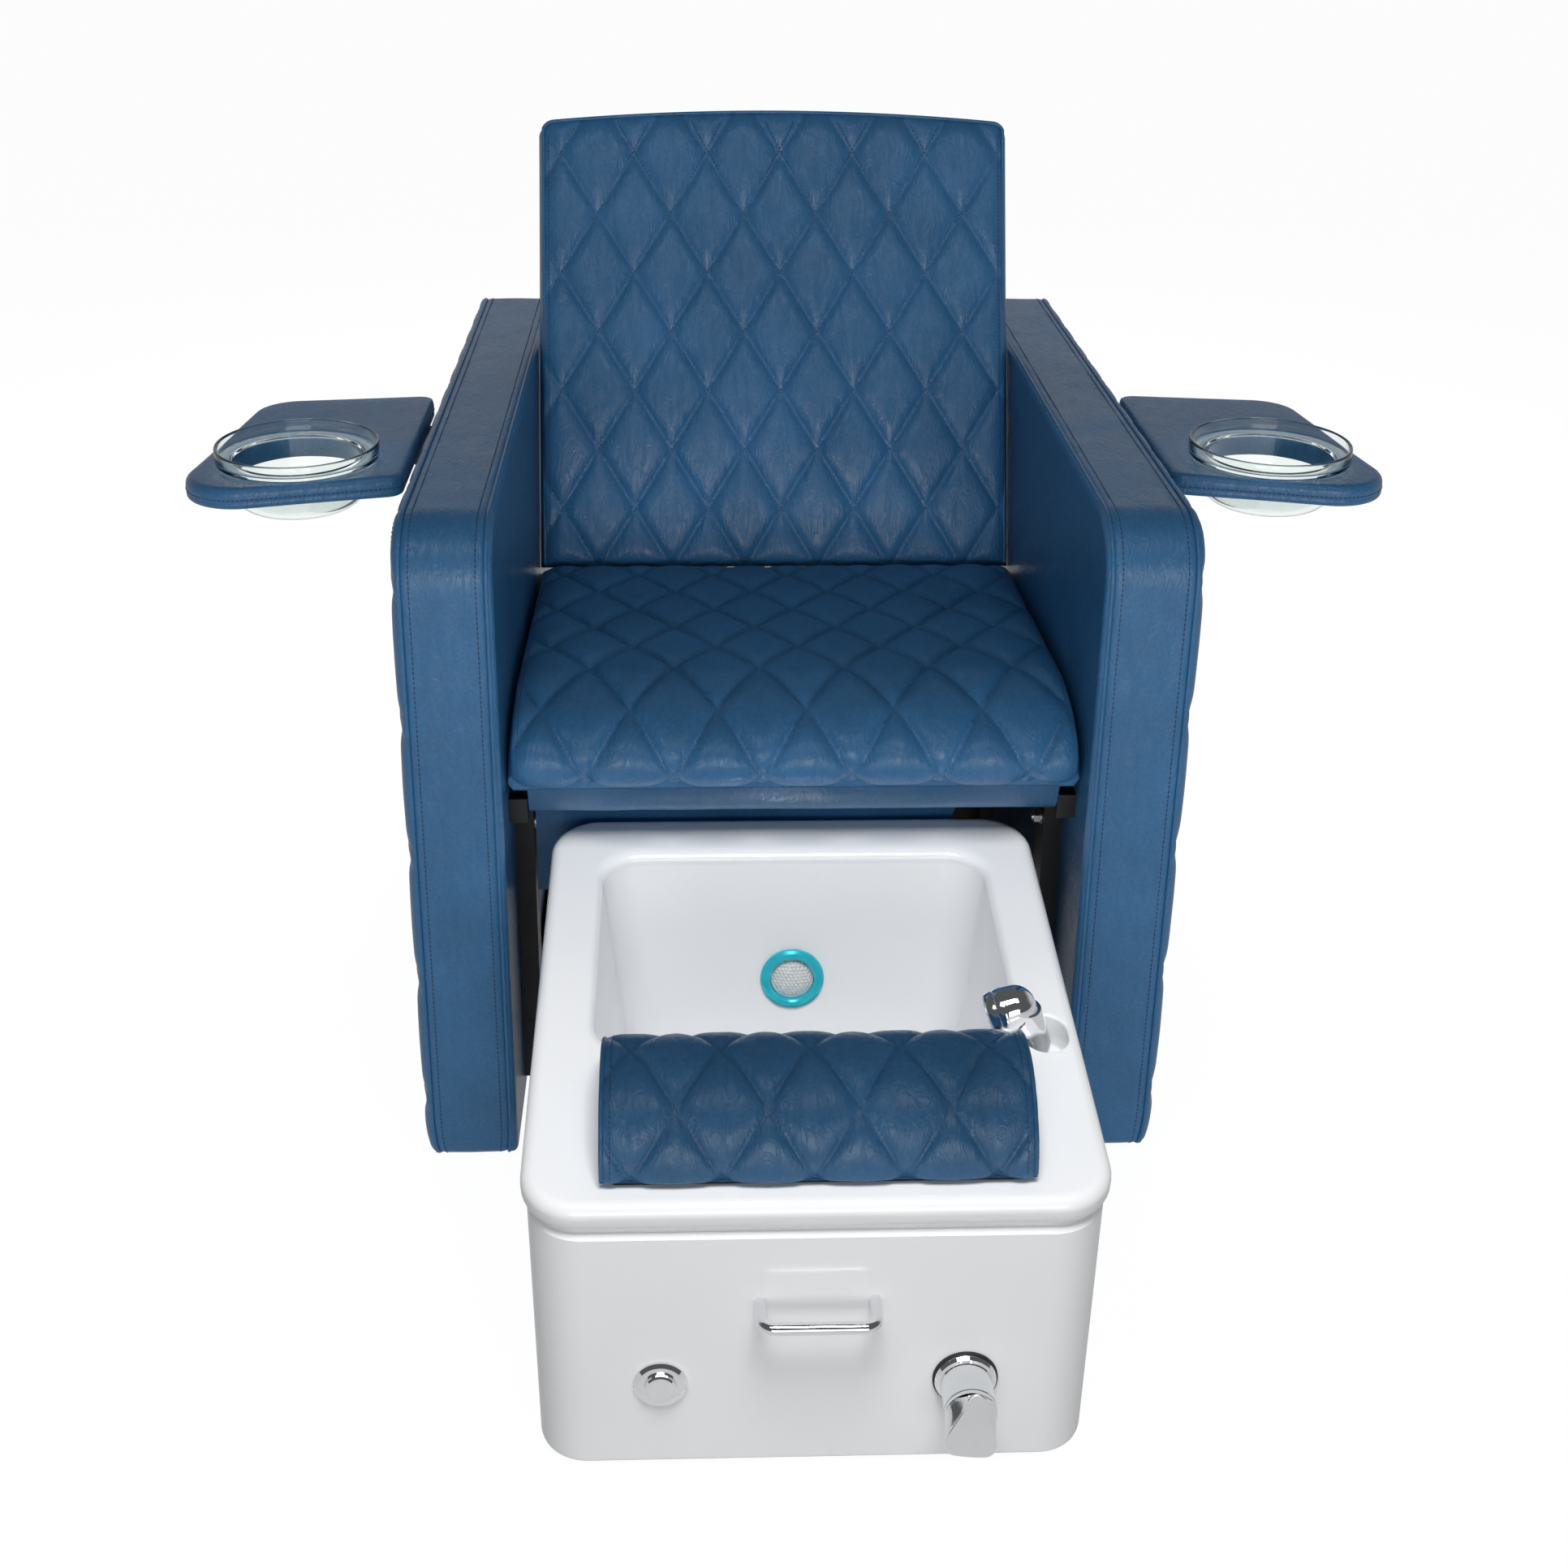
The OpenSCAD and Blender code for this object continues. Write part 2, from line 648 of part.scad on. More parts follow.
// Leather apron from the seat's front edge over the tub's rear rim. It hangs down
// behind the tub on the left, and is tucked up behind it on the right.
valance_t = 2;
tub_back = rim_y + tub_l;
valance_path = [
    [seat_rail_front + 1 - seat_gap - valance_t / 2, board_z - 2],
    [seat_rail_front + 1 - seat_gap - valance_t / 2, rail_top - 12],
    [seat_rail_front + 30, rail_top - 23],
    [tub_back + 4, tub_rear_h + 24],
    [tub_back + 9, tub_rear_h + 8],
    [tub_back + 9, tub_rear_h - 15],
    [tub_back + 9, tub_rear_h - 60],
    [tub_back + 9, tub_rear_h - 96]];
tuck = [[-400, 1], [150, 1], [187, 0.45], [256, 0.1], [270, 0.28], [400, 0.2]];
function valance_point(v) =
    let (n = len(valance_path) - 1, k = min(floor(v * n), n - 1), f = v * n - k)
    mix(valance_path[k], valance_path[k + 1], f);

module valance() {
    rows = 7;
    cols = 12;
    half_w = tube_x - 2;
    folds = 2.5;
    least_step = 0.012;                // rows below the tuck's edge close up to this
    function wave(x, v) = 3 * max(0, v - 2 / 7) * sin(180 * folds * (x + half_w) / half_w);
    function point(i, j, off) =
        let (x = mix(-half_w, half_w, j / cols),
             v = min(i / rows, lookup(x, tuck) - (rows - i) * least_step),
             p = valance_point(max(0, v)))
        [x, p.x + wave(x, v) + off, p.y + off / 2];
    face = [for (i = [0:rows]) [for (j = [0:cols]) point(i, j, -valance_t / 2)]];
    back = [for (i = [0:rows]) [for (j = [0:cols]) point(i, j, valance_t / 2)]];
    n = (rows + 1) * (cols + 1);
    ring = border(rows + 1, cols + 1);
    quads = [for (i = [0:rows - 1], j = [0:cols - 1])
        [i * (cols + 1) + j, (i + 1) * (cols + 1) + j, (i + 1) * (cols + 1) + j + 1,
         i * (cols + 1) + j + 1]];
    faces = concat(
        [for (q = quads) each [[q[3], q[1], q[0]], [q[2], q[1], q[3]]]],
        [for (q = quads) each [[q[0] + n, q[1] + n, q[3] + n], [q[3] + n, q[1] + n, q[2] + n]]],
        [for (k = [0:len(ring) - 1]) let (a = ring[k], b = ring[(k + 1) % len(ring)]) each
            [[a + n, b, a], [a + n, b + n, b]]]);
    color(leather_dark) in_chair()
        polyhedron(concat([for (row = face) each row], [for (row = back) each row]), faces);
}

// ---------------------------------------------------------------- back

// Draws in the back's own frame: +Y behind its front plane, +Z up its lean
module on_back() {
    translate([0, back_y, back_z]) rotate([-back_lean, 0, 0]) children();
}

module back_board() {
    h = back_len - 40;
    color(plywood) in_chair() on_back()
        translate([0, back_t + seat_gap, back_edge + 12 + h / 2]) rotate([-90, 0, 0])
            linear_extrude(board_t) rounded_rect(2 * hinge_x, h, 20);
}

// Height of the back's top edge at x
function back_top(x) =
    let (over = max(0, abs(x) - back_w / 2 + back_corner_r))
    back_edge + back_len + back_crown * (1 - pow(2 * x / back_w, 2))
        - back_corner_r + sqrt(max(0, pow(back_corner_r, 2) - pow(over, 2)));

module back_cushion() {
    size = [diamond_w, diamond_h];
    crossing = [7, back_len - 51];
    full = back_edge + back_len;
    edge_in = 16;
    lumbar = 10;
    function n_at(x, s) =
        let (side = edge_fall(back_w / 2 - abs(x), 30),
             ends = edge_fall(s - back_edge, 26) * edge_fall(back_top(x) - s, 30))
        lumbar * (1 - exp(-pow((s - 190) / 150, 2))) * 0.8 + edge_in * (1 - side * ends)
            + pillow * (1 - quilt(x - crossing.x, s - crossing.y, size)) * side * ends;
    // The rows bend up to the crowned top edge near it
    function s_at(x, s) = s + (back_top(x) - full) * pow((s - back_edge) / back_len, 12);
    rows = quilt_rows(back_edge, full, crossing.y, size, strip);
    front = [for (r = rows) [for (x = quilt_columns(back_w, crossing.x, size, r[1]))
        let (s = s_at(x, r[0])) [x, n_at(x, s), s]]];
    ring = border(len(rows), len(front[0]));
    flat = [for (row = front) each row];
    rear = [for (k = ring) [flat[k].x, back_t, flat[k].z]];
    color(leather) in_chair() on_back()
        pad(front, rear, [0, back_t, back_len / 2], function(i, j) rows[i][1] == 1);
}

// Upholstered tray-shaped panel that closes the back from behind
module back_shell() {
    w = back_w - 8;
    h = back_len - 4;
    side = 7;
    n0 = back_t + seat_gap;
    n1 = n0 + board_t + seat_gap;
    color(leather) in_chair() on_back() translate([0, 0, back_edge + 2 + h / 2]) difference() {
        hull() {
            translate([0, n0, 0]) rotate([-90, 0, 0]) linear_extrude(n1 - n0 + 6)
                rounded_rect(w, h, 24, $fn = hull_fn);
            translate([0, n0, 0]) rotate([-90, 0, 0]) linear_extrude(n1 - n0 + back_shell_t)
                rounded_rect(w - 24, h - 24, 16, $fn = hull_fn);
        }
        translate([0, n0 - 1, 0]) rotate([-90, 0, 0]) linear_extrude(n1 - n0 + 1)
            rounded_rect(w - 2 * side, h - 2 * side, 20);
        for (s = [-1, 1]) translate([s * (hinge_x + hinge_t / 2), (n0 + n1) / 2 - 6, -h / 2])
            cube([hinge_t + 3, n1 - n0 + 13, 60], center = true);
    }
}

// Flat steel bars that carry the back board on the two hinge pins
module back_hinge_bars() {
    bar_l = 190;
    color(steel_black) in_chair() on_back() for (s = [0, 1]) mirror([s, 0, 0])
        translate([hinge_x, 0, 0]) rotate([90, 0, 90]) linear_extrude(hinge_t) difference() {
            union() {
                translate([pin_n, pin_s]) circle(lug_r);
                polygon([[pin_n - lug_r, pin_s], [back_t + seat_gap, back_edge - 3],
                         [back_t + seat_gap, back_edge + bar_l],
                         [back_t + seat_gap + board_t, back_edge + bar_l],
                         [back_t + seat_gap + board_t, back_edge + 4],
                         [pin_n + lug_r, pin_s]]);
            }
            translate([pin_n, pin_s]) circle(pin_r + run);
        }
}

module back_pins() {
    color(steel) in_chair() for (s = [0, 1]) mirror([s, 0, 0])
        translate([hinge_x, upright_mid_rear, pin_z]) {
            translate([-seat_gap, 0, 0]) rod_x(pin_r, hinge_t + hinge_gap + tube_w + 0.1);
            translate([-3 - seat_gap, 0, 0]) rod_x(pin_r + 4, 3);
        }
}

// ---------------------------------------------------------------- trays

// Round corners of a tray's plan, drawn in by inset. Its front edge falls back
// towards the arm, and its rear edge falls back from it.
module tray_corners(inset, z0, z1) {
    x1 = tray_x0 + tray_w;
    for (c = [[tray_x0 + 16, tray_front + 55, 16], [x1 - 58, tray_front + 58, 58],
              [x1 - 80, tray_rear - 68, 51], [tray_x0 + 14, tray_rear - 14, 14]])
        translate([c.x, c.y, z0]) cylinder(r = c.z - inset, h = z1 - z0, $fn = hull_fn);
}

module tray_right_solid() {
    difference() {
        hull() {
            tray_corners(0, tray_z0 + 7, tray_h - 8);
            tray_corners(3, tray_z0 + 2, tray_h - 2.5);
            tray_corners(8, tray_z0, tray_h);
        }
        translate([bowl_x, bowl_y, tray_z0 - 1]) cylinder(r = bowl_neck_r + 1, h = tray_t + 2);
    }
}

// Plate and pin under the tray
module tray_right_pivot_solid() {
    plate_l = 90;
    translate([tray_pin_x, tray_pin_y, 0]) {
        translate([0, 0, bracket_top + bracket_gap]) linear_extrude(pivot_plate_t)
            translate([0, -plate_l / 4]) rounded_rect(60, plate_l, 8);
        translate([0, 0, bracket_top - bracket_t - 8]) cylinder(r = pin_r, h = bracket_t + 9);
        translate([0, 0, bracket_top - bracket_t - 8]) cylinder(r = pin_r + 4, h = 7.5);
    }
}

bracket_foot = [60, 84];               // width along Y and height of the wall plate
module bracket_plate_box(grow) {
    x0 = strap_x + 4;
    box([x0, tray_pin_y - bracket_foot[0] / 2 - grow, bracket_top - bracket_foot[1] - grow],
        [chair_w / 2 + 4 + grow, tray_pin_y + bracket_foot[0] / 2 + grow, bracket_top + grow]);
}

// Flat seat for the tray bracket, cut into the quilted panel
module tray_bracket_seat() {
    bracket_plate_box(0.5);
}

module tray_right_bracket_solid() {
    reach = tray_pin_out + bracket_w / 2;
    difference() {
        union() {
            bracket_plate_box(0);
            box([chair_w / 2, tray_pin_y - bracket_w / 2, bracket_top - bracket_t],
                [tray_pin_x, tray_pin_y + bracket_w / 2, bracket_top]);
            translate([tray_pin_x, tray_pin_y, bracket_top - bracket_t])
                cylinder(r = bracket_w / 2, h = bracket_t);
            translate([0, tray_pin_y + 3, 0]) rotate([90, 0, 0]) linear_extrude(6)
                polygon([[chair_w / 2 + 3, bracket_top - bracket_t], [chair_w / 2 + 3, bracket_top - 70],
                         [chair_w / 2 + reach * 0.55, bracket_top - bracket_t]]);
        }
        translate([tray_pin_x, tray_pin_y, bracket_top - bracket_t - 1])
            cylinder(r = pin_r + run, h = bracket_t + 2);
    }
}

// Glass bowl: a straight rim band over a narrower round bottom
module bowl_solid() {
    foot_r = 50;
    belly = 26;
    translate([bowl_x, bowl_y, tray_h]) rotate_extrude() {
        translate([bowl_r - bowl_wall, 0.2]) square([bowl_wall, bowl_rim_h - 2]);
        translate([bowl_r - bowl_wall / 2, bowl_rim_h - 1.8]) circle(bowl_wall / 2, $fn = 24);
        translate([bowl_neck_r - bowl_wall, 0.2]) square([bowl_r - bowl_neck_r + bowl_wall, bowl_wall]);
        difference() {
            translate([bowl_neck_r - belly, belly - bowl_depth]) circle(belly);
            translate([bowl_neck_r - belly, belly - bowl_depth]) circle(belly - bowl_wall);
            translate([bowl_neck_r - 2 * belly, belly - bowl_depth]) square(2 * belly);
            translate([bowl_neck_r - 2 * belly, -bowl_depth]) square([belly, 2 * belly]);
        }
        translate([bowl_neck_r - bowl_wall, belly - bowl_depth])
            square([bowl_wall, bowl_depth - belly + 0.2]);
        translate([0, -bowl_depth]) square([bowl_neck_r - belly, bowl_wall]);
    }
}

module tray_right() { color(leather) in_chair() tray_right_solid(); }
module tray_left() { color(leather) in_chair() mirror([1, 0, 0]) tray_right_solid(); }
module tray_right_pivot() { color(steel_black) in_chair() tray_right_pivot_solid(); }
module tray_left_pivot() { color(steel_black) in_chair() mirror([1, 0, 0]) tray_right_pivot_solid(); }
module tray_right_bracket() { color(steel_black) in_chair() tray_right_bracket_solid(); }
module tray_left_bracket() {
    color(steel_black) in_chair() mirror([1, 0, 0]) tray_right_bracket_solid();
}
module bowl_right() { color(clear_glass) in_chair() bowl_solid(); }
module bowl_left() { color(clear_glass) in_chair() mirror([1, 0, 0]) bowl_solid(); }

// ---------------------------------------------------------------- tub

// Draws on the tub's sloping rim: +Y along the rim to the rear, +Z out of it
module on_rim(lift = 0) {
    translate([0, rim_y, tub_front_h]) rotate([rim_angle, 0, 0]) translate([0, 0, lift]) children();
}

// Where the plane y = face is met at depth lift under the rim
function rim_start(face, lift) = (face - rim_y + lift * sin(rim_angle)) / cos(rim_angle);

slab_t = 0.2;                          // thickness of the slabs that the tub's forms are drawn from

// Thin slab in the rim's plane from y0 to y1 along it
module rim_slab(w, y0, y1, r, lift) {
    on_rim(lift) translate([0, (y0 + y1) / 2, 0])
        linear_extrude(slab_t) rounded_rect(w, y1 - y0, r, $fn = hull_fn);
}

module level_slab(w, y0, y1, r, z) {
    translate([0, (y0 + y1) / 2, z]) linear_extrude(slab_t)
        rounded_rect(w, y1 - y0, r, $fn = hull_fn);
}

// Skirt of the tub up to just under its rim band, drawn in by inset
module tub_body(inset, lift) {
    hull() {
        level_slab(tub_foot_w - 2 * inset, tub_face + inset, tub_foot_rear - inset, 46 - inset,
            inset > 0 ? 0 : tub_gap);
        rim_slab(tub_body_w - 2 * inset, rim_start(tub_face + inset, lift + slab_t), rim_l - 6 - inset,
            50 - inset, lift);
    }
}

module rim_band() {
    hull() {
        rim_slab(tub_body_w, 4, rim_l - 5, 50, -band_h - 6);
        rim_slab(tub_w, 0, rim_l, 52, -band_h + 2);
        rim_slab(tub_w, 0, rim_l, 52, -12);
        rim_slab(tub_w - 8, 4, rim_l - 4, 48, -3.5);
        rim_slab(tub_w - 24, 12, rim_l - 12, 42, -0.2);
    }
}

// Basin block, grown by wall outside its hollow
module basin(wall, lift) {
    hull() {
        rim_slab(basin_w + 2 * wall, basin_front - wall, rim_l - basin_rear + wall, 40, lift);
        level_slab(basin_floor_w + 2 * wall, basin_floor_y[0] - wall, basin_floor_y[1] + wall, 36,
            basin_floor + basin_knee);
        level_slab(basin_floor_w - 40, basin_floor_y[0] + 20, basin_floor_y[1] - 20, 24,
            basin_floor - wall);
    }
}

// Rolled upper edge of the basin
module basin_lip() {
    hull() {
        rim_slab(basin_w + 20, basin_front - 10, rim_l - basin_rear + 14, 46, 0.1);
        rim_slab(basin_w + 8, basin_front - 4, rim_l - basin_rear + 6, 42, -3);
        rim_slab(basin_w, basin_front, rim_l - basin_rear, 40, -10);
    }
}

// Draws at the jet: +Z points out of the basin's rear wall into the basin
module at_jet() {
    translate([0, jet_y, jet_z]) rotate([90 - jet_lean, 0, 0]) children();
}

module recess(r, z0, z1) {
    translate([sprayer_x, sprayer_y, z0]) {
        for (s = [-1, 1]) translate([0, s * recess_stretch, 0]) cylinder(r = r, h = z1 - z0);
        translate([-r, -recess_stretch, 0]) cube([2 * r, 2 * recess_stretch, z1 - z0]);
    }
}

rest_screw_x = rest_l / 2 - 50;
module at_rest_screws() {
    for (x = [-rest_screw_x, rest_screw_x]) on_rim(0) translate([x, rest_y, 0]) children();
}

module tub_shell() {
    color(white) in_chair() difference() {
        union() {
            difference() {
                union() {
                    tub_body(0, -band_h - 2);
                    rim_band();
                }
                tub_body(tub_wall, -deck_t);
            }
            basin(tub_wall, -4);
            intersection() {
                recess(recess_r + 4, recess_z - 4, tub_rear_h);
                tub_body(0, -4);
            }
            translate([0, (tub_face + tub_foot_rear) / 2, flange_z]) linear_extrude(flange_t)
                difference() {
                    rounded_rect(tub_foot_w - 4, tub_foot_rear - tub_face - 4, 44);
                    rounded_rect(tub_foot_w - 2 * flange_in - 12,
                        tub_foot_rear - tub_face - 2 * flange_in - 12, 30);
                }
        }
        basin(0, 0);
        basin_lip();
        recess(recess_r, recess_z, tub_rear_h + 20);
        translate([socket_x, sprayer_y, recess_z - 6]) cylinder(r = socket_r + run, h = 10);
        for (x = [-button_x, mixer_x])
            translate([x, skin_y + 1, fitting_z]) rod_front(17, tub_wall + 8);
        for (s = [-1, 1])
            translate([s * handle_cc / 2, skin_y + 1, handle_z]) rod_front(2.6, tub_wall + 8);
        at_jet() translate([0, 0, -tub_wall - 12]) cylinder(r = jet_neck_r + run, h = tub_wall + 20);
        translate([0, drain_y, basin_floor - tub_wall - 1]) cylinder(r = tail_r + run, h = tub_wall + 4);
        at_rest_screws() translate([0, 0, -deck_t - 1]) cylinder(r = 2.6, h = deck_t + 4);
    }
}

// Board that stands on the tub's inner flange and carries the casters
chassis_z = flange_z + flange_t;
module tub_chassis() {
    y0 = tub_face + tub_wall + 2;
    y1 = tub_foot_rear - tub_wall - 2;
    color(plywood) in_chair() difference() {
        translate([0, (y0 + y1) / 2, chassis_z]) linear_extrude(chassis_t)
            rounded_rect(tub_foot_w - 2 * tub_wall - 4, y1 - y0, 38);
        translate([0, drain_y, chassis_z - 1]) cylinder(r = tail_r + 3, h = chassis_t + 2);
    }
}

// Runs its children at each caster's axle
module at_casters() {
    for (s = [-1, 1], y = wheel_y) translate([s * wheel_x, y, wheel_r]) children();
}

module caster_forks() {
    out = wheel_w / 2 + fork_gap;
    top = chassis_z - wheel_r;
    color(steel) in_chair() at_casters() difference() {
        union() {
            for (s = [-1, 1]) translate([s > 0 ? out : -out - fork_t, 0, 0]) {
                rod_x(8, fork_t);
                translate([0, -8, 0]) cube([fork_t, 16, top]);
            }
            translate([-out - fork_t, -14, top - fork_t]) cube([2 * (out + fork_t), 28, fork_t]);
        }
        translate([-out - fork_t - 1, 0, 0]) rod_x(axle_r + run, 2 * (out + fork_t + 1));
    }
}

module caster_axles() {
    out = wheel_w / 2 + fork_gap + fork_t;
    color(steel) in_chair() at_casters() {
        translate([-out - 1, 0, 0]) rod_x(axle_r, 2 * out + 2);
        translate([-out - 2.5, 0, 0]) rod_x(axle_r + 2, 2.3);
        translate([out + 0.2, 0, 0]) rod_x(axle_r + 2, 2.3);
    }
}

module wheel(s, y) {
    color(rubber) in_chair() translate([s * wheel_x, y, wheel_r]) difference() {
        translate([-wheel_w / 2, 0, 0]) rod_x(wheel_r, wheel_w);
        translate([-wheel_w / 2 - 1, 0, 0]) rod_x(axle_r + run, wheel_w + 2);
    }
}
module wheel_front_left() { wheel(-1, wheel_y[0]); }
module wheel_front_right() { wheel(1, wheel_y[0]); }
module wheel_rear_left() { wheel(-1, wheel_y[1]); }
module wheel_rear_right() { wheel(1, wheel_y[1]); }

// ---------------------------------------------------------------- footrest

module footrest_base() {
    color(plywood) in_chair() difference() {
        on_rim(0) translate([0, rest_y, 0]) linear_extrude(rest_base_t)
            rounded_rect(rest_l - 16, 2 * rest_r - 16, 6);
        at_rest_screws() translate([0, 0, -1]) cylinder(r = 1.8, h = rest_base_t + 2);
    }
}

module footrest_bolster() {
    size = [rest_diamond_w, rest_diamond_w * 1.7];
    base = rest_base_t + seat_gap;
    arc = rest_r * PI;
    crossing = [-4, arc * 0.43];
    low = arc * 4 / 180;
    rows = quilt_rows(low, arc - low, crossing.y, size);
    function r_at(x, l) =
        let (side = edge_fall(rest_l / 2 - abs(x), 22))
        rest_r - 7 * (1 - side)
            - pillow * 0.8 * (1 - quilt(x - crossing.x, l - crossing.y, size)) * side;
    front = [for (r = rows) let (a = 180 * r[0] / arc)
        [for (x = quilt_columns(rest_l, crossing.x, size, r[1]))
            let (out = r_at(x, r[0]))
            [x, rest_y + out * cos(a), max(2 + (out - 2) * sin(a), base)]]];
    cols = len(front[0]);
    ring = border(len(rows), cols);
    flat = [for (row = front) each row];
    last = len(rows) - 1;
    rear = [for (k = ring) let (i = floor(k / cols))
        [flat[k].x, rest_y + mix(0.97, -0.97, i / last) * rest_r, base - 0.1]];
    color(leather) in_chair() on_rim(0)
        pad(front, rear, [0, rest_y, base - 0.1], function(i, j) rows[i][1] == 1, true);
}

// ---------------------------------------------------------------- fittings

module pull_handle() {
    out = 34;
    bend = 12;
    color(chrome) in_chair() translate([0, tub_face, handle_z]) difference() {
        union() {
            for (s = [-1, 1]) {
                translate([s * handle_cc / 2, 0, 0]) rod_front(handle_r, out - bend);
                translate([s * (handle_cc / 2 - bend), bend - out, 0]) rotate([0, 0, s > 0 ? 270 : 180])
                    rotate_extrude(angle = 90) translate([bend, 0]) circle(handle_r);
            }
            translate([bend - handle_cc / 2, -out, 0]) rod_x(handle_r, handle_cc - 2 * bend);
        }
        for (s = [-1, 1]) translate([s * handle_cc / 2, 1, 0]) rod_front(2, 13);
    }
}

module handle_screws() {
    color(steel) in_chair() for (s = [-1, 1])
        translate([s * handle_cc / 2, skin_y, handle_z]) {
            translate([0, 3, 0]) rod_front(4, 3);
            rod_front(2 - run, tub_wall + 10);
        }
}

button_neck_r = 16.5;
button_r = 14;
cap_out = 9;                           // front of the button ahead of the tub
cap_l = 26;
neck_l = cap_l - cap_out + button_travel + 2;
bellows_l = 14;
bellows_end = cap_out - cap_l - button_travel - seat_gap;
switch_end = bellows_end - bellows_l;
module button_flange() {
    color(chrome) in_chair() translate([-button_x, tub_face, fitting_z]) rotate([90, 0, 0])
        rotate_extrude() difference() {
            union() {
                translate([button_r + run, -neck_l]) square([button_neck_r - button_r - run, neck_l + 2]);
                translate([button_r + run, 0]) square([24.5 - button_r - run, 2.5]);
                translate([button_r + run, 2]) polygon([[0, 0], [24.5 - button_r - run, 0],
                    [21 - button_r - run, 3.2], [4, 4], [0, 3.2]]);
            }
        }
}

module button_cap() {
    color(chrome) in_chair() translate([-button_x, tub_face, fitting_z]) rotate([90, 0, 0]) {
        translate([0, 0, cap_out - cap_l]) cylinder(r = button_r, h = cap_l - 1.5);
        translate([0, 0, cap_out - 1.5]) cylinder(r1 = button_r, r2 = button_r - 1.5, h = 1.5);
    }
}

// Rubber bellows that the button squeezes to pump the air switch
module button_bellows() {
    turns = 3;
    color(rubber) in_chair() translate([-button_x, tub_face, fitting_z]) rotate([90, 0, 0])
        translate([0, 0, switch_end]) rotate_extrude() polygon(concat([[0, 0]],
            [for (k = [0:2 * turns]) [k % 2 == 0 ? 8 : 12, bellows_l * k / (2 * turns)]],
            [[0, bellows_l]]));
}

module air_switch() {
    back = switch_end;
    color(white) in_chair() translate([-button_x, tub_face, fitting_z]) rotate([90, 0, 0])
        difference() {
            union() {
                translate([0, 0, back - 8]) cylinder(r = 21, h = 8 - tub_wall - hole_gap - back);
                translate([0, 0, back - 20]) cylinder(r = 3.5, h = 14);
            }
            translate([0, 0, back]) cylinder(r = button_neck_r + run, h = 60);
            translate([0, 0, back - 21]) cylinder(r = 1.5, h = 19);
        }
}

module at_mixer() {
    translate([mixer_x, tub_face, fitting_z]) rotate([90, 0, 0]) children();
}

mixer_front = 38;                      // front of the mixer's body ahead of the tub
module mixer_gasket() {
    color(rubber) in_chair() at_mixer() difference() {
        cylinder(r = flange_r + 1.6, h = 2);
        translate([0, 0, -1]) cylinder(r = mixer_r + 0.4, h = 4);
    }
}

module mixer_flange() {
    color(chrome) in_chair() at_mixer() translate([0, 0, 2]) rotate_extrude()
        polygon([[mixer_r + run, 0], [flange_r, 0], [flange_r, 2], [flange_r - 2, 5],
            [mixer_r + run, 6]]);
}

// Valve body with its inlet spigots behind the wall
module mixer_body() {
    back = 60;
    color(chrome) in_chair() at_mixer() difference() {
        union() {
            cylinder(r = mixer_r, h = mixer_front);
            translate([0, 0, -tub_wall - 30]) cylinder(r = 17 - hole_gap, h = tub_wall + 31);
            translate([0, 0, -tub_wall - 30]) cylinder(r = 22, h = 29.8);
            for (x = [-1, 1]) translate([x * 11, 0, -back]) cylinder(r = 6, h = back - 20);
        }
        translate([0, 0, mixer_front - 14]) cylinder(r = 9 + run, h = 15);
    }
}

// Turning head of the mixer: a spindle, a plate and two ears for the lever's pin
lever_turn = 7;                         // the head stands turned a little to the right
turret_plate = 4;
lever_hinge_z = 15;
lever_hinge_out = mixer_front + turret_plate + 4.5;
module at_turret() {
    at_mixer() rotate([0, 0, -lever_turn]) children();
}

module mixer_turret() {
    color(chrome) in_chair() at_turret() difference() {
        union() {
            translate([0, 0, mixer_front - 12]) cylinder(r = 9, h = 14);
            translate([0, 0, mixer_front + seat_gap]) cylinder(r = mixer_r - 0.5, h = turret_plate);
            translate([-5, lever_hinge_z - 4, mixer_front + turret_plate - 1]) cube([10, 8, 9.5]);
        }
        translate([-12, lever_hinge_z, lever_hinge_out]) rod_x(2 + run, 24);
    }
}

module lever_pin() {
    color(steel) in_chair() at_turret() translate([-9.5, lever_hinge_z, lever_hinge_out])
        rod_x(2, 19);
}

// Paddle lever: a round cap that runs out into a broad, slanted paddle
module mixer_lever() {
    back = mixer_front + turret_plate + 1.2;
    top = 27;
    drop = 32;
    start = back + 3;
    lean = atan((lever_out - start) / (top + drop));
    foot_r = 11;
    top_r = 9.5;
    color(chrome) in_chair() at_turret() difference() {
        hull() {
            translate([0, 0, back]) cylinder(r = mixer_r, h = 1, $fn = 64);
            translate([0, top, start]) rotate([-lean, 0, 0]) {
                translate([0, -top_r, -2]) cylinder(r = top_r, h = 2, $fn = hull_fn);
                for (s = [-1, 1])
                    translate([s * (lever_w / 2 - foot_r), foot_r - (top + drop) / cos(lean), -3])
                        cylinder(r = foot_r, h = 3, $fn = hull_fn);
            }
        }
        translate([-40, lever_hinge_z + 1, back]) rotate([-62, 0, 0]) translate([0, 0, -30])
            cube([80, 30, 60]);
        translate([-5.6, lever_hinge_z - 7.5, back - 1]) cube([11.2, 15, 10.5]);
        translate([-9.6, lever_hinge_z, lever_hinge_out]) rod_x(2 + run, 19.2);
    }
}

module jet_ring() {
    color(aqua) in_chair() at_jet() difference() {
        union() {
            rotate_extrude() polygon([[23.9, 0], [jet_r, 0], [jet_r - 1, 2.5], [jet_r - 4, 4.5],
                [26, 5], [23.9, 3.5]]);
            translate([0, 0, -22]) cylinder(r = jet_neck_r, h = 22.5);
        }
        translate([0, 0, -23]) cylinder(r = 23.9, h = 40);
    }
}

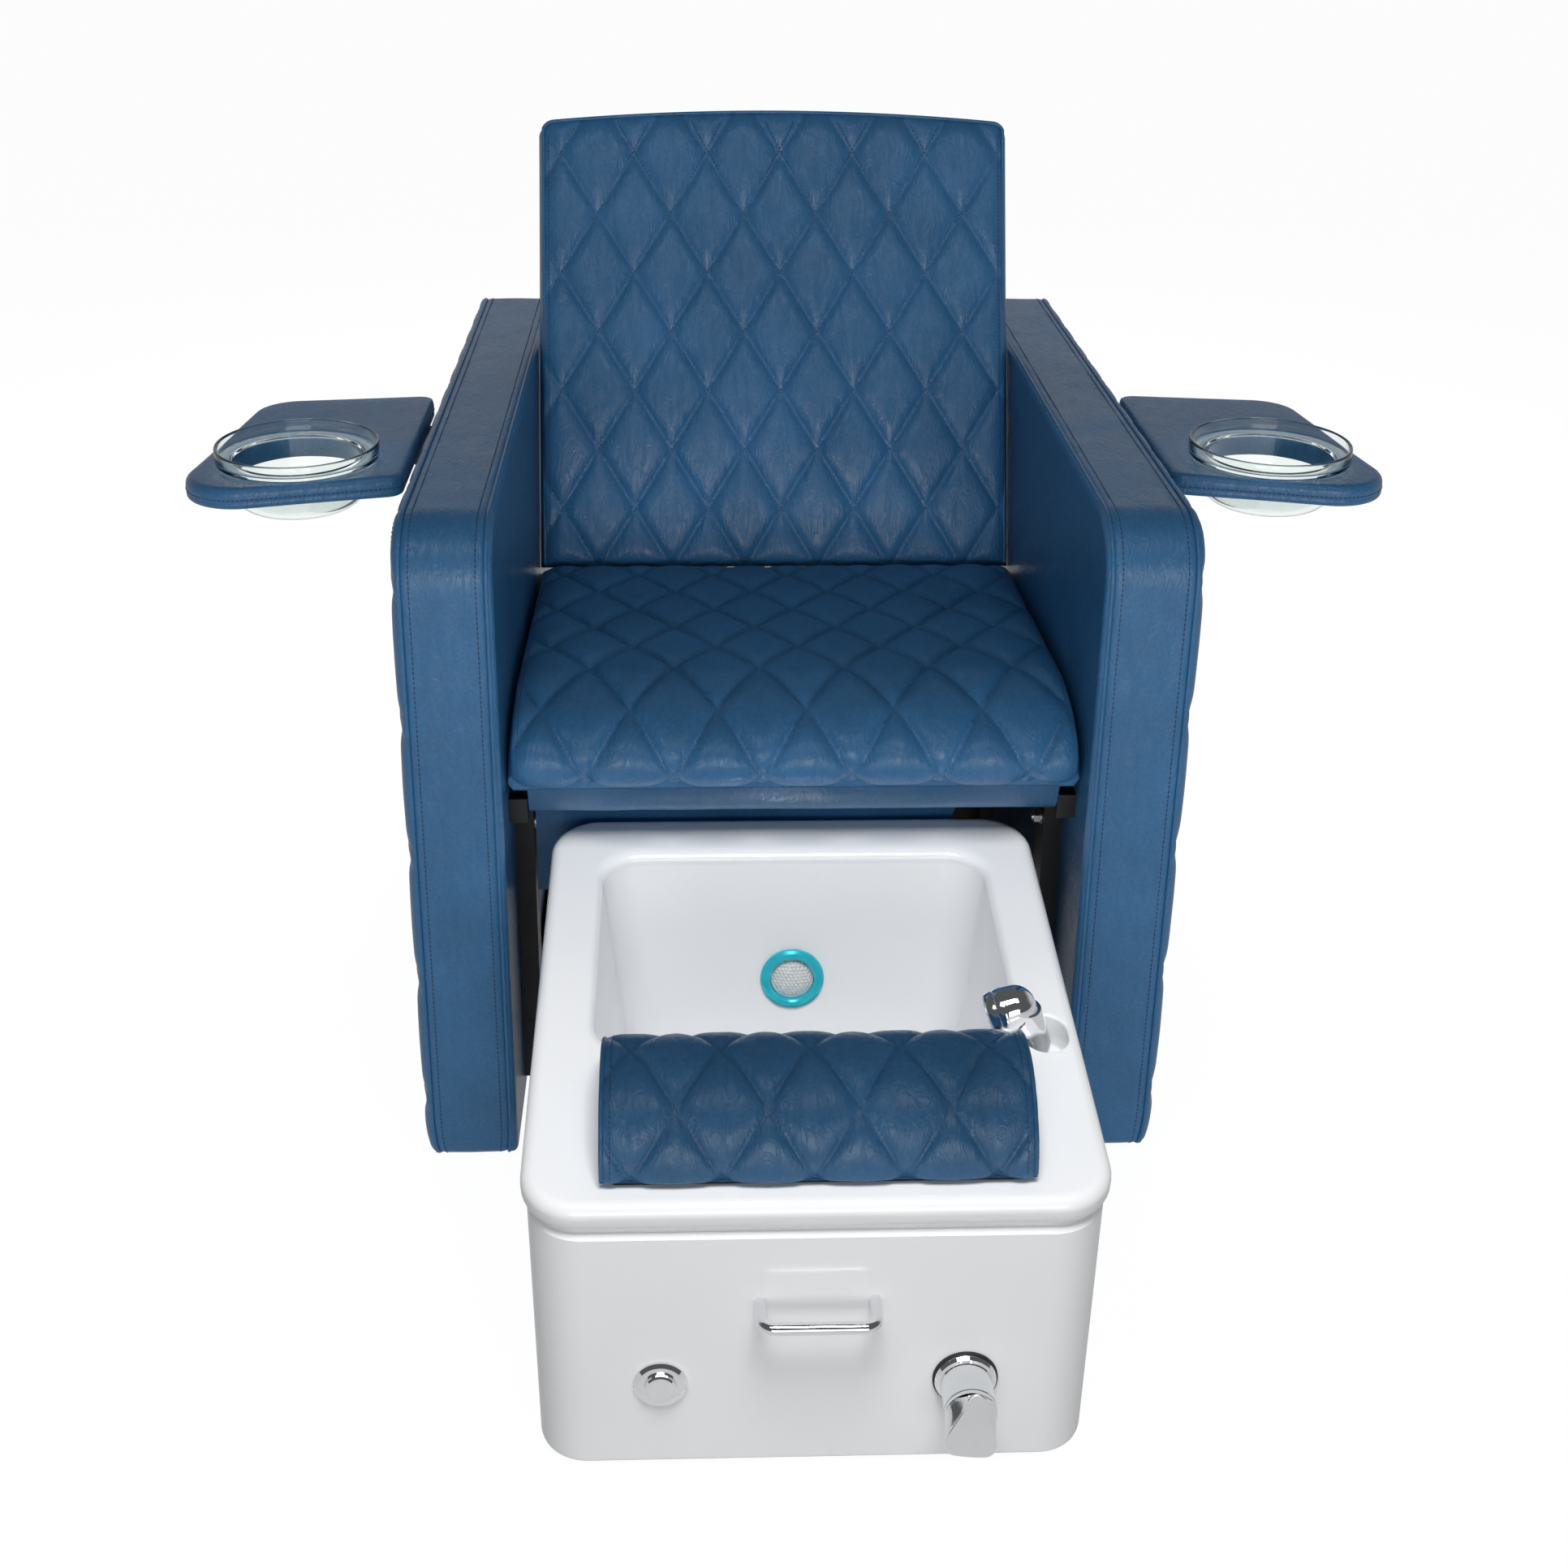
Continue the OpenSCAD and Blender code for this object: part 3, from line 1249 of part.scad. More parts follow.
// Domed lens over the lamp
module jet_lens() {
    bulge = 7;
    dome_r = (23.5 * 23.5 + bulge * bulge) / (2 * bulge);
    color(clear_glass) in_chair() at_jet() union() {
        translate([0, 0, -6]) cylinder(r = 23.6, h = 5.2);
        intersection() {
            translate([0, 0, -2 + bulge - dome_r]) sphere(dome_r, $fn = 64);
            translate([0, 0, -2]) cylinder(r = 23.5, h = 20);
        }
    }
}

// Lamp and jet housing behind the rear wall of the basin
module jet_housing() {
    depth = 36;
    color(white) in_chair() at_jet() difference() {
        union() {
            translate([0, 0, -tub_wall - depth]) cylinder(r = 32, h = depth - 2);
            translate([0, 30, -tub_wall - depth / 2]) rotate([-90, 0, 0]) cylinder(r = 8, h = 22);
        }
        translate([0, 0, -tub_wall - depth + 3]) cylinder(r = jet_neck_r + run, h = depth);
        translate([0, 20, -tub_wall - depth / 2]) rotate([-90, 0, 0]) cylinder(r = 5, h = 40);
    }
}

module drain_strainer() {
    color(chrome) in_chair() translate([0, drain_y, basin_floor]) difference() {
        union() {
            cylinder(r1 = drain_r, r2 = drain_r - 2, h = 2.5);
            translate([0, 0, -12]) cylinder(r = tail_r - 2, h = 13);
        }
        translate([0, 0, -13]) cylinder(r = tail_r - 5, h = 13.5);
        for (a = [0:60:300]) rotate(a) translate([8, 0, -1]) cylinder(r = 3, h = 5);
    }
}

module drain_tail() {
    color(white) in_chair() translate([0, drain_y, 0]) difference() {
        union() {
            translate([0, 0, basin_floor - tub_wall - 26]) cylinder(r = tail_r + 5, h = 25.8);
            translate([0, 0, chassis_z + 1]) cylinder(r = tail_r, h = basin_floor - chassis_z - 2);
        }
        translate([0, 0, chassis_z]) cylinder(r = tail_r - 2 + run, h = basin_floor);
    }
}

// ---------------------------------------------------------------- sprayer

module sprayer_socket() {
    color(chrome) in_chair() translate([socket_x, sprayer_y, recess_z]) difference() {
        union() {
            translate([0, 0, -26]) cylinder(r = socket_r, h = 27);
            cylinder(r = socket_r + 1.2, h = 3);
        }
        translate([0, 0, -27]) cylinder(r = stem_r + run, h = 40);
    }
}

// Draws at the middle of the sprayer's face: +Z out of it, towards the basin
module at_head() {
    translate([sprayer_x - 55, sprayer_y, recess_z + 51]) rotate([0, -90 - head_drop, 0]) children();
}

module sprayer_body() {
    dome = 20.6;
    neck_r = 12.5;
    color(chrome) in_chair() {
        translate([socket_x, sprayer_y, recess_z - stem_l]) cylinder(r = stem_r, h = stem_l + 5);
        translate([socket_x, sprayer_y, recess_z + 3.3]) cylinder(r = neck_r, h = 31);
        hull() {
            translate([socket_x, sprayer_y, recess_z + 32.5])
                cylinder(r = neck_r + 0.6, h = 3, $fn = hull_fn);
            at_head() translate([0, 0, -30]) sphere(17.5, $fn = 24);
        }
        hull() {
            at_head() translate([0, 0, -25]) sphere(dome, $fn = 24);
            at_head() translate([0, 0, -18]) cylinder(r = 21.8, h = 1, $fn = hull_fn);
        }
        at_head() difference() {
            union() {
                translate([0, 0, -17.5]) cylinder(r = 22, h = 8.5);
                translate([0, 0, -10]) cylinder(r = 19.5, h = 2);
                translate([0, 0, -8.2]) cylinder(r1 = 21.5, r2 = 20.5, h = 8.2);
            }
            translate([0, 0, -3.5]) cylinder(r = 18.5, h = 5);
        }
    }
}

module sprayer_face() {
    color(steel) in_chair() at_head() translate([0, 0, -3.5 + seat_gap]) {
        cylinder(r = 18.5 - run, h = 3.8);
        for (a = [0:45:315]) rotate(a) translate([11, 0, 3]) cylinder(r = 1.6, h = 1.8, $fn = 16);
    }
}

frame();
rear_cover();
seat_board();
seat_cushion();
valance();
arm_left_carcass();
arm_left_strap();
arm_left_outer_panel();
arm_left_inner_panel();
arm_right_carcass();
arm_right_strap();
arm_right_outer_panel();
arm_right_inner_panel();
arm_bolts();
arm_washers();
arm_nuts();
arm_glides();
back_pins();
back_hinge_bars();
back_board();
back_cushion();
back_shell();
tray_left_bracket();
tray_left_pivot();
tray_left();
bowl_left();
tray_right_bracket();
tray_right_pivot();
tray_right();
bowl_right();
tub_shell();
tub_chassis();
caster_forks();
caster_axles();
wheel_front_left();
wheel_front_right();
wheel_rear_left();
wheel_rear_right();
footrest_base();
footrest_bolster();
pull_handle();
handle_screws();
button_flange();
button_cap();
button_bellows();
air_switch();
mixer_gasket();
mixer_flange();
mixer_body();
mixer_turret();
lever_pin();
mixer_lever();
jet_ring();
jet_lens();
jet_housing();
drain_strainer();
drain_tail();
sprayer_socket();
sprayer_body();
sprayer_face();
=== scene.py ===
import math

import bpy
import bmesh
import numpy as np
from mathutils import Matrix, Vector


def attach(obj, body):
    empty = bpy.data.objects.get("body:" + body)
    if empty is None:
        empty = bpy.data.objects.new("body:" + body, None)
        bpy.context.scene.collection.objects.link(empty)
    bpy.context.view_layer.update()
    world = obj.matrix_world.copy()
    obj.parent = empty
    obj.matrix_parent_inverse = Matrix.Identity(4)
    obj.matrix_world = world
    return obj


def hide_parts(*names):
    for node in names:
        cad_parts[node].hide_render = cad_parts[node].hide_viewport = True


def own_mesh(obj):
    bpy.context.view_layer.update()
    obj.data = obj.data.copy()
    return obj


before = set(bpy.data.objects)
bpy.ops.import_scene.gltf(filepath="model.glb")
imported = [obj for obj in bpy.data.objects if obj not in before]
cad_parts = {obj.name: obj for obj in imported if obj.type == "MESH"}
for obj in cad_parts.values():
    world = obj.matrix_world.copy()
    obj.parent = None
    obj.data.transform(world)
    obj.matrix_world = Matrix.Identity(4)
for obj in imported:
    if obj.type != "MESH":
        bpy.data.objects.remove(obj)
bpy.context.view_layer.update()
scene = bpy.context.scene

# ------------------------------------------------------------------ sizes
# Millimetres. X to the right, Y to the rear from the front of the arms, Z up.
ROW_Y = -230.0                       # the row frame's origin lies this far ahead

CHAIR_W, ARM_T, ARM_H, ARM_D = 820.0, 106.0, 750.0, 960.0
ARM_R, ARM_REAR_R, FOOT_R, GLIDE_H = 65.0, 25.0, 12.0, 6.0
PANEL_X, STRAP_W = CHAIR_W / 2 - ARM_T + 8.0, ARM_T - 22.0
STRAP_X = PANEL_X + STRAP_W
DIAMOND = (93.5, 152.0)
SEAT_DIAMOND = (93.5, 132.0)
PILLOW, LOFTY = 7.0, 9.0
EDGE_STEPS = (0.8, 2, 3.5, 5.5, 8, 11)
STITCH, ARM_STITCH, WRAP_STITCH = (5.2, 3.7), (5.6, 4.0), (5.4, 3.9)   # pitch and length
TRAY_STITCH, REST_STITCH = (5.0, 3.6), (4.6, 3.3)

SEAT_W, SEAT_FRONT, SEAT_H, SEAT_FALL, BOARD_Z = 594.0, 20.0, 534.0, 4.0, 440.0
NOSE_Y, NOSE_Z, SEAT_LIP = SEAT_FRONT + 122.0, BOARD_Z + 36.0, 26.0

BACK_Y, BACK_Z, BACK_LEAN = 540.0, 508.0, math.radians(21.5)
BACK_EDGE, BACK_LEN, BACK_T, CROWN, CORNER_R = -10.0, 572.0, 70.0, 14.0, 14.0

TRAY_X0, TRAY_W, TRAY_FRONT, TRAY_L, TRAY_H, TRAY_T = 422.0, 235.0, 188.0, 350.0, 727.0, 24.0
BRACKET_Y, BRACKET_Z = TRAY_FRONT + TRAY_L - 54, (614, 701)
BOWL_X, BOWL_Y, BOWL_R, NECK_R, BOWL_UP, BOWL_DEEP = 545.0, 294.0, 90.0, 75.0, 18.2, 54.0

TUB_W, TUB_L, TUB_FRONT_H, TUB_REAR_H = 522.0, 562.0, 294.0, 365.0
RIM_Y, TUB_FACE = -440.0, -436.0
RIM_A = math.atan((TUB_REAR_H - TUB_FRONT_H) / TUB_L)
RIM_L = TUB_L / math.cos(RIM_A)
BASIN_W, BASIN_FRONT, BASIN_REAR, BASIN_FLOOR = 406.0, 200.0, 70.0, 110.0
FLOOR_Y = (RIM_Y + BASIN_FRONT + 26, RIM_Y + TUB_L - BASIN_REAR - 28)
KNEE = 26.0
BASIN_TOP_Z = TUB_FRONT_H + (TUB_L - BASIN_REAR) * math.tan(RIM_A)
JET_Z, JET_R = 212.0, 23.4
JET_LEAN = math.atan((RIM_Y + TUB_L - BASIN_REAR - FLOOR_Y[1]) / (BASIN_TOP_Z - BASIN_FLOOR - KNEE))
JET_Y = FLOOR_Y[1] + (JET_Z - BASIN_FLOOR - KNEE) * math.tan(JET_LEAN)
REST_L, REST_R, REST_Y, REST_BASE = 380.0, 80.0, 101.0, 8.3
RECESS = (228.0, RIM_Y + 212.0, TUB_FRONT_H + 212.0 * math.tan(RIM_A) - 30.0)
BUTTON_X, MIXER_X, FITTING_Z = -139, 134, 100

SLOTS = {"leather": "leather_blue", "thread": "leather_blue", "apron": "leather_apron", "glass": "bowl_glass",
         "acrylic": "tub_acrylic", "chrome": "chrome", "lens": "lens_glass"}
QUARTER = math.pi / 2


# ------------------------------------------------------------------ mesh tools
def row(points):
    """Chair millimetres to row-frame metres."""
    p = np.asarray(points, float).reshape(-1, 3).copy()
    p[:, 1] += ROW_Y
    return p / 1000.0


def added(name, data):
    ob = bpy.data.objects.new(name, data)
    scene.collection.objects.link(ob)
    return ob


def piece(name, points, faces, mat, body=None, **finish):
    me = bpy.data.meshes.new(name)
    me.from_pydata(row(points).tolist(), [], [list(map(int, f)) for f in faces])
    me.update()
    bm = bmesh.new()
    bm.from_mesh(me)
    bmesh.ops.recalc_face_normals(bm, faces=bm.faces)
    bm.to_mesh(me)
    bm.free()
    return dress(added(name, me), mat, body, **finish)


def dress(ob, mat, body=None, replaces=None, slot=None, sharp=None, weighted=False, fill=None):
    """Gives a piece its finish; one without a body is only a tool for making others."""
    me = ob.data
    me.materials.clear()
    me.materials.append(M[mat])
    me.polygons.foreach_set("material_index", np.zeros(len(me.polygons), np.int32))
    me.polygons.foreach_set("use_smooth", np.ones(len(me.polygons), bool))
    if sharp:
        me.set_sharp_from_angle(angle=math.radians(sharp))
    if weighted:
        ob.modifiers.new("weighted", "WEIGHTED_NORMAL").keep_sharp = True
    me.update()
    if replaces:
        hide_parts(replaces)
    if body:
        slot or SLOTS[mat]
        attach(ob, body)
    return ob


def cells(rows, cols, wrap=False, base=0):
    """Quads of a grid of points."""
    i, j = np.meshgrid(np.arange(rows - 1), np.arange(cols if wrap else cols - 1), indexing="ij")
    k = (j + 1) % cols
    return (base + np.stack([i * cols + j, i * cols + k, (i + 1) * cols + k, (i + 1) * cols + j], -1)
            ).reshape(-1, 4).tolist()


def loft(name, rings, mat, body=None, caps=True, closed=False, **finish):
    """Skin over rings of the same number of points, with flat caps or closed on itself."""
    n, last = len(rings[0]), (len(rings) - 1) * len(rings[0])
    faces = cells(len(rings), n, wrap=True)
    if closed:
        faces += [[last + j, last + (j + 1) % n, (j + 1) % n, j] for j in range(n)]
    elif caps:
        faces += [list(range(n))[::-1], [last + k for k in range(n)]]
    return piece(name, np.concatenate([np.asarray(r, float) for r in rings]), faces, mat, body, **finish)


def turns(n):
    return np.linspace(0, 2 * math.pi, n, endpoint=False)


def bends(n, start=0.0):
    """1 - cos and sin over a quarter turn, for rounded edges."""
    return [(1 - math.cos(a), math.sin(a)) for a in np.linspace(start, QUARTER, n)]


def circle(r, z, n):
    return np.stack([r * np.cos(turns(n)), r * np.sin(turns(n)), np.full(n, z)], 1)


def lathe(name, profile, m, mat, body=None, n=96, caps=True, **finish):
    """Turns a profile of (radius, height) about the Z axis of m, a 4x4 in chair millimetres."""
    return loft(name, [apply(m, circle(r, z, n)) for r, z in profile], mat, body, caps=caps, **finish)


def apply(m, pts):
    m = np.asarray(m, float)
    return np.asarray(pts, float) @ m[:3, :3].T + m[:3, 3]


def place(origin, z_axis, x_axis=(1, 0, 0)):
    z = np.asarray(z_axis, float)
    z = z / np.linalg.norm(z)
    x = np.asarray(x_axis, float)
    x = x - z * (x @ z)
    x = x / np.linalg.norm(x)
    m = np.eye(4)
    m[:3, 0], m[:3, 1], m[:3, 2], m[:3, 3] = x, np.cross(z, x), z, origin
    return m


def run_along(path):
    """Length along a path up to each of its points."""
    return np.concatenate([[0], np.cumsum(np.linalg.norm(np.diff(path, axis=0), axis=1))])


def piping(name, path, r, body, closed=False, n=10):
    """Round leather tube along a path of points."""
    p = np.asarray(path, float)
    nxt = np.roll(p, -1, 0) if closed else np.vstack([p[1:], 2 * p[-1:] - p[-2:-1]])
    prv = np.roll(p, 1, 0) if closed else np.vstack([2 * p[:1] - p[1:2], p[:-1]])
    d = nxt - prv
    d /= np.linalg.norm(d, axis=1)[:, None]
    up = np.cross(d[0], [0.3, 0.1, 0.94])
    up /= np.linalg.norm(up)
    rings = []
    for c, t in zip(p, d):
        up = up - t * (up @ t)
        up /= np.linalg.norm(up)
        rings.append(c + r * (np.outer(np.cos(turns(n)), up) + np.outer(np.sin(turns(n)), np.cross(t, up))))
    return loft(name, rings, "leather", body, closed=closed, sharp=None if closed else 50)


noise_table = np.random.RandomState(7).rand(256, 256)


def noise(x, y, seed=0):
    """Smooth value noise, -1 to 1, one cell to a unit."""
    x = np.asarray(x, float) + 17.3 * seed
    y = np.asarray(y, float) + 41.7 * seed
    xi, yi = np.floor(x).astype(int), np.floor(y).astype(int)
    fx, fy = x - xi, y - yi
    fx, fy = fx * fx * (3 - 2 * fx), fy * fy * (3 - 2 * fy)
    g = lambda a, b: noise_table[(xi + a) % 256, (yi + b) % 256]
    return 2 * ((g(0, 0) * (1 - fx) + g(1, 0) * fx) * (1 - fy)
                + (g(0, 1) * (1 - fx) + g(1, 1) * fx) * fy) - 1


# ------------------------------------------------------------------ quilting
def seam_distance(u, v, size):
    """Distance to the nearest seam of each of the two families, in mm, and their phases."""
    a, b = u / size[0] + v / size[1], u / size[0] - v / size[1]
    g = math.hypot(1 / size[0], 1 / size[1])
    return np.abs(a - np.round(a)) / g, np.abs(b - np.round(b)) / g, a, b


def plateau(d, reach):
    """A pillow's rise from its seam: steep within reach, then slow over 40 mm."""
    t, slow = np.clip(d / reach, 0, 1), np.clip(d / 40, 0, 1)
    steep = 0.7 * np.sqrt(1 - (1 - t) ** 2.4) + 0.3 * (1 - (1 - t) ** 2)
    return 0.84 * steep + 0.16 * (1 - (1 - slow) ** 2)


def quilted(u, v, size, reach=14.0, seed=1):
    """Height of a quilted pad over its seams, 0 to about 1, with gathers along the seams."""
    da, db, a, b = seam_distance(u, v, size)
    ha, hb = plateau(da, reach), plateau(db, reach)
    cell = 1 + 0.05 * noise(np.floor(a) * 3.1, np.floor(b) * 2.7, seed)
    h = ha * hb * cell
    # short creases that run square to the seams and fade away from them
    along_a, along_b = (a - b) * size[1] / 2, (a + b) * size[1] / 2
    for d, s, k in ((da, along_a, 3), (db, along_b, 5)):
        fade = np.exp(-((d - 5) / 6.0) ** 2)
        h = h + 0.05 * fade * noise(s / 6.5, np.full(np.shape(s), k), seed + k)
    return h + 0.03 * noise(u / 38, v / 30, seed + 9) * ha * hb


def edge_fall(d, reach):
    t = np.clip(d / reach, 0, 1)
    return np.sqrt(np.clip(1 - (1 - t) ** 2, 0, 1))


def lattice(lo, hi, origin, step, ends=EDGE_STEPS):
    """Places from lo to hi in steps from origin, with finer places at both ends."""
    k0 = math.ceil((lo + ends[-1] - origin) / step + 0.3)
    k1 = math.floor((hi - ends[-1] - origin) / step - 0.3)
    mid = [origin + k * step for k in range(k0, k1 + 1)]
    return np.array([lo] + [lo + e for e in ends] + mid + [hi - e for e in reversed(ends)] + [hi])


def quilt_faces(uu, vv, size):
    """Triangles of a grid whose diagonals follow the nearer seam."""
    rows, cols = len(vv), len(uu)
    U, V = np.meshgrid((uu[:-1] + uu[1:]) / 2, (vv[:-1] + vv[1:]) / 2)
    da, db, _, _ = seam_distance(U, V, size)
    i, j = np.meshgrid(np.arange(rows - 1), np.arange(cols - 1), indexing="ij")
    p, q = i * cols + j, i * cols + j + 1
    r, s = p + cols, q + cols
    falls = (da < db)[..., None]                     # seam runs from upper left to lower right
    one = np.where(falls, np.stack([p, q, r], -1), np.stack([p, q, s], -1))
    two = np.where(falls, np.stack([q, s, r], -1), np.stack([p, s, r], -1))
    return np.concatenate([one.reshape(-1, 3), two.reshape(-1, 3)]).tolist()


def ring_of(rows, cols):
    """The points round a grid's edge."""
    return ([j for j in range(cols)] + [i * cols + cols - 1 for i in range(1, rows)]
            + [(rows - 1) * cols + j for j in range(cols - 2, -1, -1)]
            + [i * cols for i in range(rows - 2, 0, -1)])


def pad(name, uu, vv, size, surface, rear, body, walls=5, bulge=0.0, **finish):
    """Closed pad: a quilted front over a grid and walls that fall to rear(front points, u, v)."""
    U, V = (g.ravel() for g in np.meshgrid(uu, vv))
    front, ring = surface(U, V), ring_of(len(vv), len(uu))
    edge, n = front[ring], len(ring)
    back = rear(edge, U[ring], V[ring])
    side = U[ring] - (uu[0] + uu[-1]) / 2
    out = np.zeros((n, 3))                           # the walls bulge sideways only
    out[:, 0] = np.sign(side) * np.clip(1 - ((uu[-1] - uu[0]) / 2 - np.abs(side)) / 14, 0, 1)
    faces, pts, prev, count = quilt_faces(uu, vv, size), [front], ring, len(front)
    for w in range(1, walls + 1):
        t = w / walls
        pts.append(edge * (1 - t) + back * t + out * bulge * math.sin(math.pi * t))
        cur = [count + k for k in range(n)]
        faces += [[prev[k], cur[k], cur[(k + 1) % n], prev[(k + 1) % n]] for k in range(n)]
        prev, count = cur, count + n
    return piece(name, np.concatenate(pts), faces + [prev], "leather", body, **finish)


# ------------------------------------------------------------------ stitching
def normals_of(surface, u, v, h=0.6):
    du = surface(u + h, v) - surface(u - h, v)
    dv = surface(u, v + h) - surface(u, v - h)
    n = np.cross(du, dv)
    return n / np.maximum(np.linalg.norm(n, axis=1)[:, None], 1e-9)


def dashes(path, nrm, stitch=STITCH):
    """Starts, ends and normals of the stitches along a path of points."""
    pitch, length = stitch
    run = run_along(path)
    count = int((run[-1] - 1) / pitch)
    if count < 1:
        return None
    s0 = (run[-1] - count * pitch) / 2 + np.arange(count) * pitch + (pitch - length) / 2
    at = lambda s, what: np.stack([np.interp(s, run, what[:, k]) for k in range(3)], 1)
    return at(s0, path), at(s0 + length, path), at(s0 + length / 2, nrm)


def sewn(surface, u, v, stitch=STITCH, facing=1):
    return dashes(surface(u, v), facing * normals_of(surface, u, v), stitch)


def side_rows(surface, half, v, stitch=STITCH, facing=1):
    """A row of stitches along each side of a surface."""
    return [sewn(surface, np.full(len(v), s * half), v, stitch, facing) for s in (-1, 1)]


def seam_runs(surface, lo, hi, origin, size, stitch=STITCH):
    """Stitches along both families of diagonal seams of a quilt within a rectangle of u and v."""
    runs = []
    corners = [((x - origin[0]) / size[0], (y - origin[1]) / size[1])
               for x in (lo[0], hi[0]) for y in (lo[1], hi[1])]
    for sign in (1, -1):
        values = [p + sign * q for p, q in corners]
        for k in range(math.floor(min(values)), math.ceil(max(values)) + 1):
            u = np.arange(lo[0], hi[0] + 0.5, 0.7)
            v = origin[1] + sign * (k - (u - origin[0]) / size[0]) * size[1]
            keep = (v > lo[1]) & (v < hi[1])
            if keep.sum() >= 6:
                runs.append(sewn(surface, u[keep], v[keep], stitch))
    return [r for r in runs if r is not None]


def thread(name, runs, body, lift=0.15, slot=None, r=0.55, k=6):
    """One mesh of many stitches, each a short rounded bar that dips in at its ends."""
    p0, p1, nn = (np.concatenate([x[i] for x in runs]) for i in range(3))
    d = p1 - p0
    length = np.linalg.norm(d, axis=1)[:, None]
    d = d / length
    side = np.cross(d, nn)
    side /= np.linalg.norm(side, axis=1)[:, None]
    up = np.cross(side, d)
    cos, sin = np.cos(turns(k))[None, :, None], np.sin(turns(k))[None, :, None]
    rings = []
    for t, w, z in ((0, 0.5, -0.5), (0.14, 0.95, 0.1), (0.5, 1.1, 0.35), (0.86, 0.95, 0.1), (1, 0.5, -0.5)):
        c = p0 + d * length * t + up * (lift + z * r)
        rings.append(c[:, None, :] + r * w * (cos * side[:, None, :] + 0.8 * sin * up[:, None, :]))
    pts = np.stack(rings, 1)                          # stitch, ring, corner, xyz
    first = np.arange(len(p0))[:, None] * 5 * k
    faces = (first[:, :, None] + np.array(cells(5, k, wrap=True))[None]).reshape(-1, 4)
    ends = np.concatenate([first + np.arange(k)[::-1], first + 4 * k + np.arange(k)])
    return piece(name, pts.reshape(-1, 3), faces.tolist() + ends.tolist(), "thread", body, slot=slot)


# ------------------------------------------------------------------ materials
def sockets(n, **values):
    """Sets a node's sockets, and its settings where no socket has the name."""
    for k, v in values.items():
        if k in n.inputs:
            n.inputs[k].default_value = v
        else:
            setattr(n, k, v)
    return n


def node(nt, kind, **values):
    return sockets(nt.nodes.new("ShaderNode" + kind), **values)


def link(a, b):
    a.id_data.links.new(a, b)


def material(name):
    """A material with its nodes, its shader and the object's own coordinates."""
    m = bpy.data.materials.new(name)
    m.use_nodes = True
    nt = m.node_tree
    return m, nt, nt.nodes["Principled BSDF"], node(nt, "TexCoord").outputs["Object"]


def texture(at, kind, **values):
    n = node(at.id_data, "Tex" + kind, **values)
    link(at, n.inputs["Vector"])
    return n.outputs["Distance" if kind == "Voronoi" else "Fac"]


def squeezed(at, scale):
    n = node(at.id_data, "Mapping", Scale=scale)
    link(at, n.inputs["Vector"])
    return n.outputs["Vector"]


def relief(height, strength, distance, normal):
    """Bump that ends in the socket given; returns the node for a bump below it."""
    b = node(height.id_data, "Bump", Strength=strength, Distance=distance)
    link(height, b.inputs["Height"])
    link(b.outputs["Normal"], normal)
    return b


def ramp(source, stops):
    r = node(source.id_data, "ValToRGB")
    while len(r.color_ramp.elements) < len(stops):
        r.color_ramp.elements.new(0.5)
    for e, (at, c) in zip(r.color_ramp.elements, stops):
        e.position = at
        e.color = (*c, 1) if hasattr(c, "__len__") else (c, c, c, 1)
    link(source, r.inputs["Fac"])
    return r.outputs["Color"]


def tint(c, k):
    return tuple(min(1.0, x * k) for x in c)


def leather(name, base, crease=0.35):
    """Satin leather: fine pebbled grain, soft creases, slightly uneven colour and gloss."""
    m, nt, p, at = material(name)
    big = texture(at, "Noise", Scale=9.0, Detail=4.0, Roughness=0.6)
    fine = texture(at, "Noise", Scale=240.0, Detail=3.0, Roughness=0.6)
    colour = ramp(big, [(0.3, tint(base, 0.86)), (0.55, base), (0.75, tint(base, 1.14))])
    mix = node(nt, "Mix", data_type="RGBA", blend_type="MULTIPLY")
    mix.inputs[0].default_value = 1.0
    link(colour, mix.inputs[6])
    link(ramp(fine, [(0.3, 0.88), (0.7, 1.08)]), mix.inputs[7])
    link(mix.outputs[2], p.inputs["Base Color"])
    link(ramp(big, [(0.25, 0.27), (0.75, 0.38)]), p.inputs["Roughness"])
    grain = texture(at, "Voronoi", feature="SMOOTH_F1", Scale=850.0, Smoothness=0.6)
    fold = texture(squeezed(at, (1.6, 0.7, 0.55)), "Noise", Scale=42.0, Detail=5.0, Roughness=0.62,
                   Distortion=1.3)
    ridge = ramp(fold, [(0.40, 1.0), (0.50, 0.0), (0.56, 0.9), (0.7, 1.0)])
    pebbles = relief(grain, 0.32, 0.00022, p.inputs["Normal"])
    relief(ridge, crease, 0.0009, pebbles.inputs["Normal"])
    return m


def plain(name, base, rough, metallic=0.0, scale=60.0, vary=0.06, bump=0.0, bump_scale=300.0, coat=0.0):
    """A finish with slight unevenness in colour and gloss and a fine surface texture."""
    m, nt, p, at = material(name)
    n = texture(at, "Noise", Scale=scale, Detail=3.0, Roughness=0.55)
    link(ramp(n, [(0.3, tint(base, 1 - vary)), (0.7, tint(base, 1 + vary / 2))]),
         p.inputs["Base Color"])
    link(ramp(n, [(0.3, rough * 0.85), (0.7, min(1.0, rough * 1.2))]), p.inputs["Roughness"])
    if bump:
        relief(texture(at, "Noise", Scale=bump_scale, Detail=4.0), bump, 0.0004, p.inputs["Normal"])
    sockets(p, **{"Metallic": metallic, "Coat Weight": coat})
    return m


def glass(name, colour, rough=0.0, clear=1.0):
    m, nt, p, at = material(name)
    sockets(p, **{"Base Color": (*colour, 1), "Transmission Weight": clear, "IOR": 1.46})
    n = texture(at, "Noise", Scale=14.0, Detail=2.0)
    relief(n, 0.06, 0.002, p.inputs["Normal"])
    link(ramp(n, [(0.3, rough), (0.7, rough + 0.02)]), p.inputs["Roughness"])
    return m


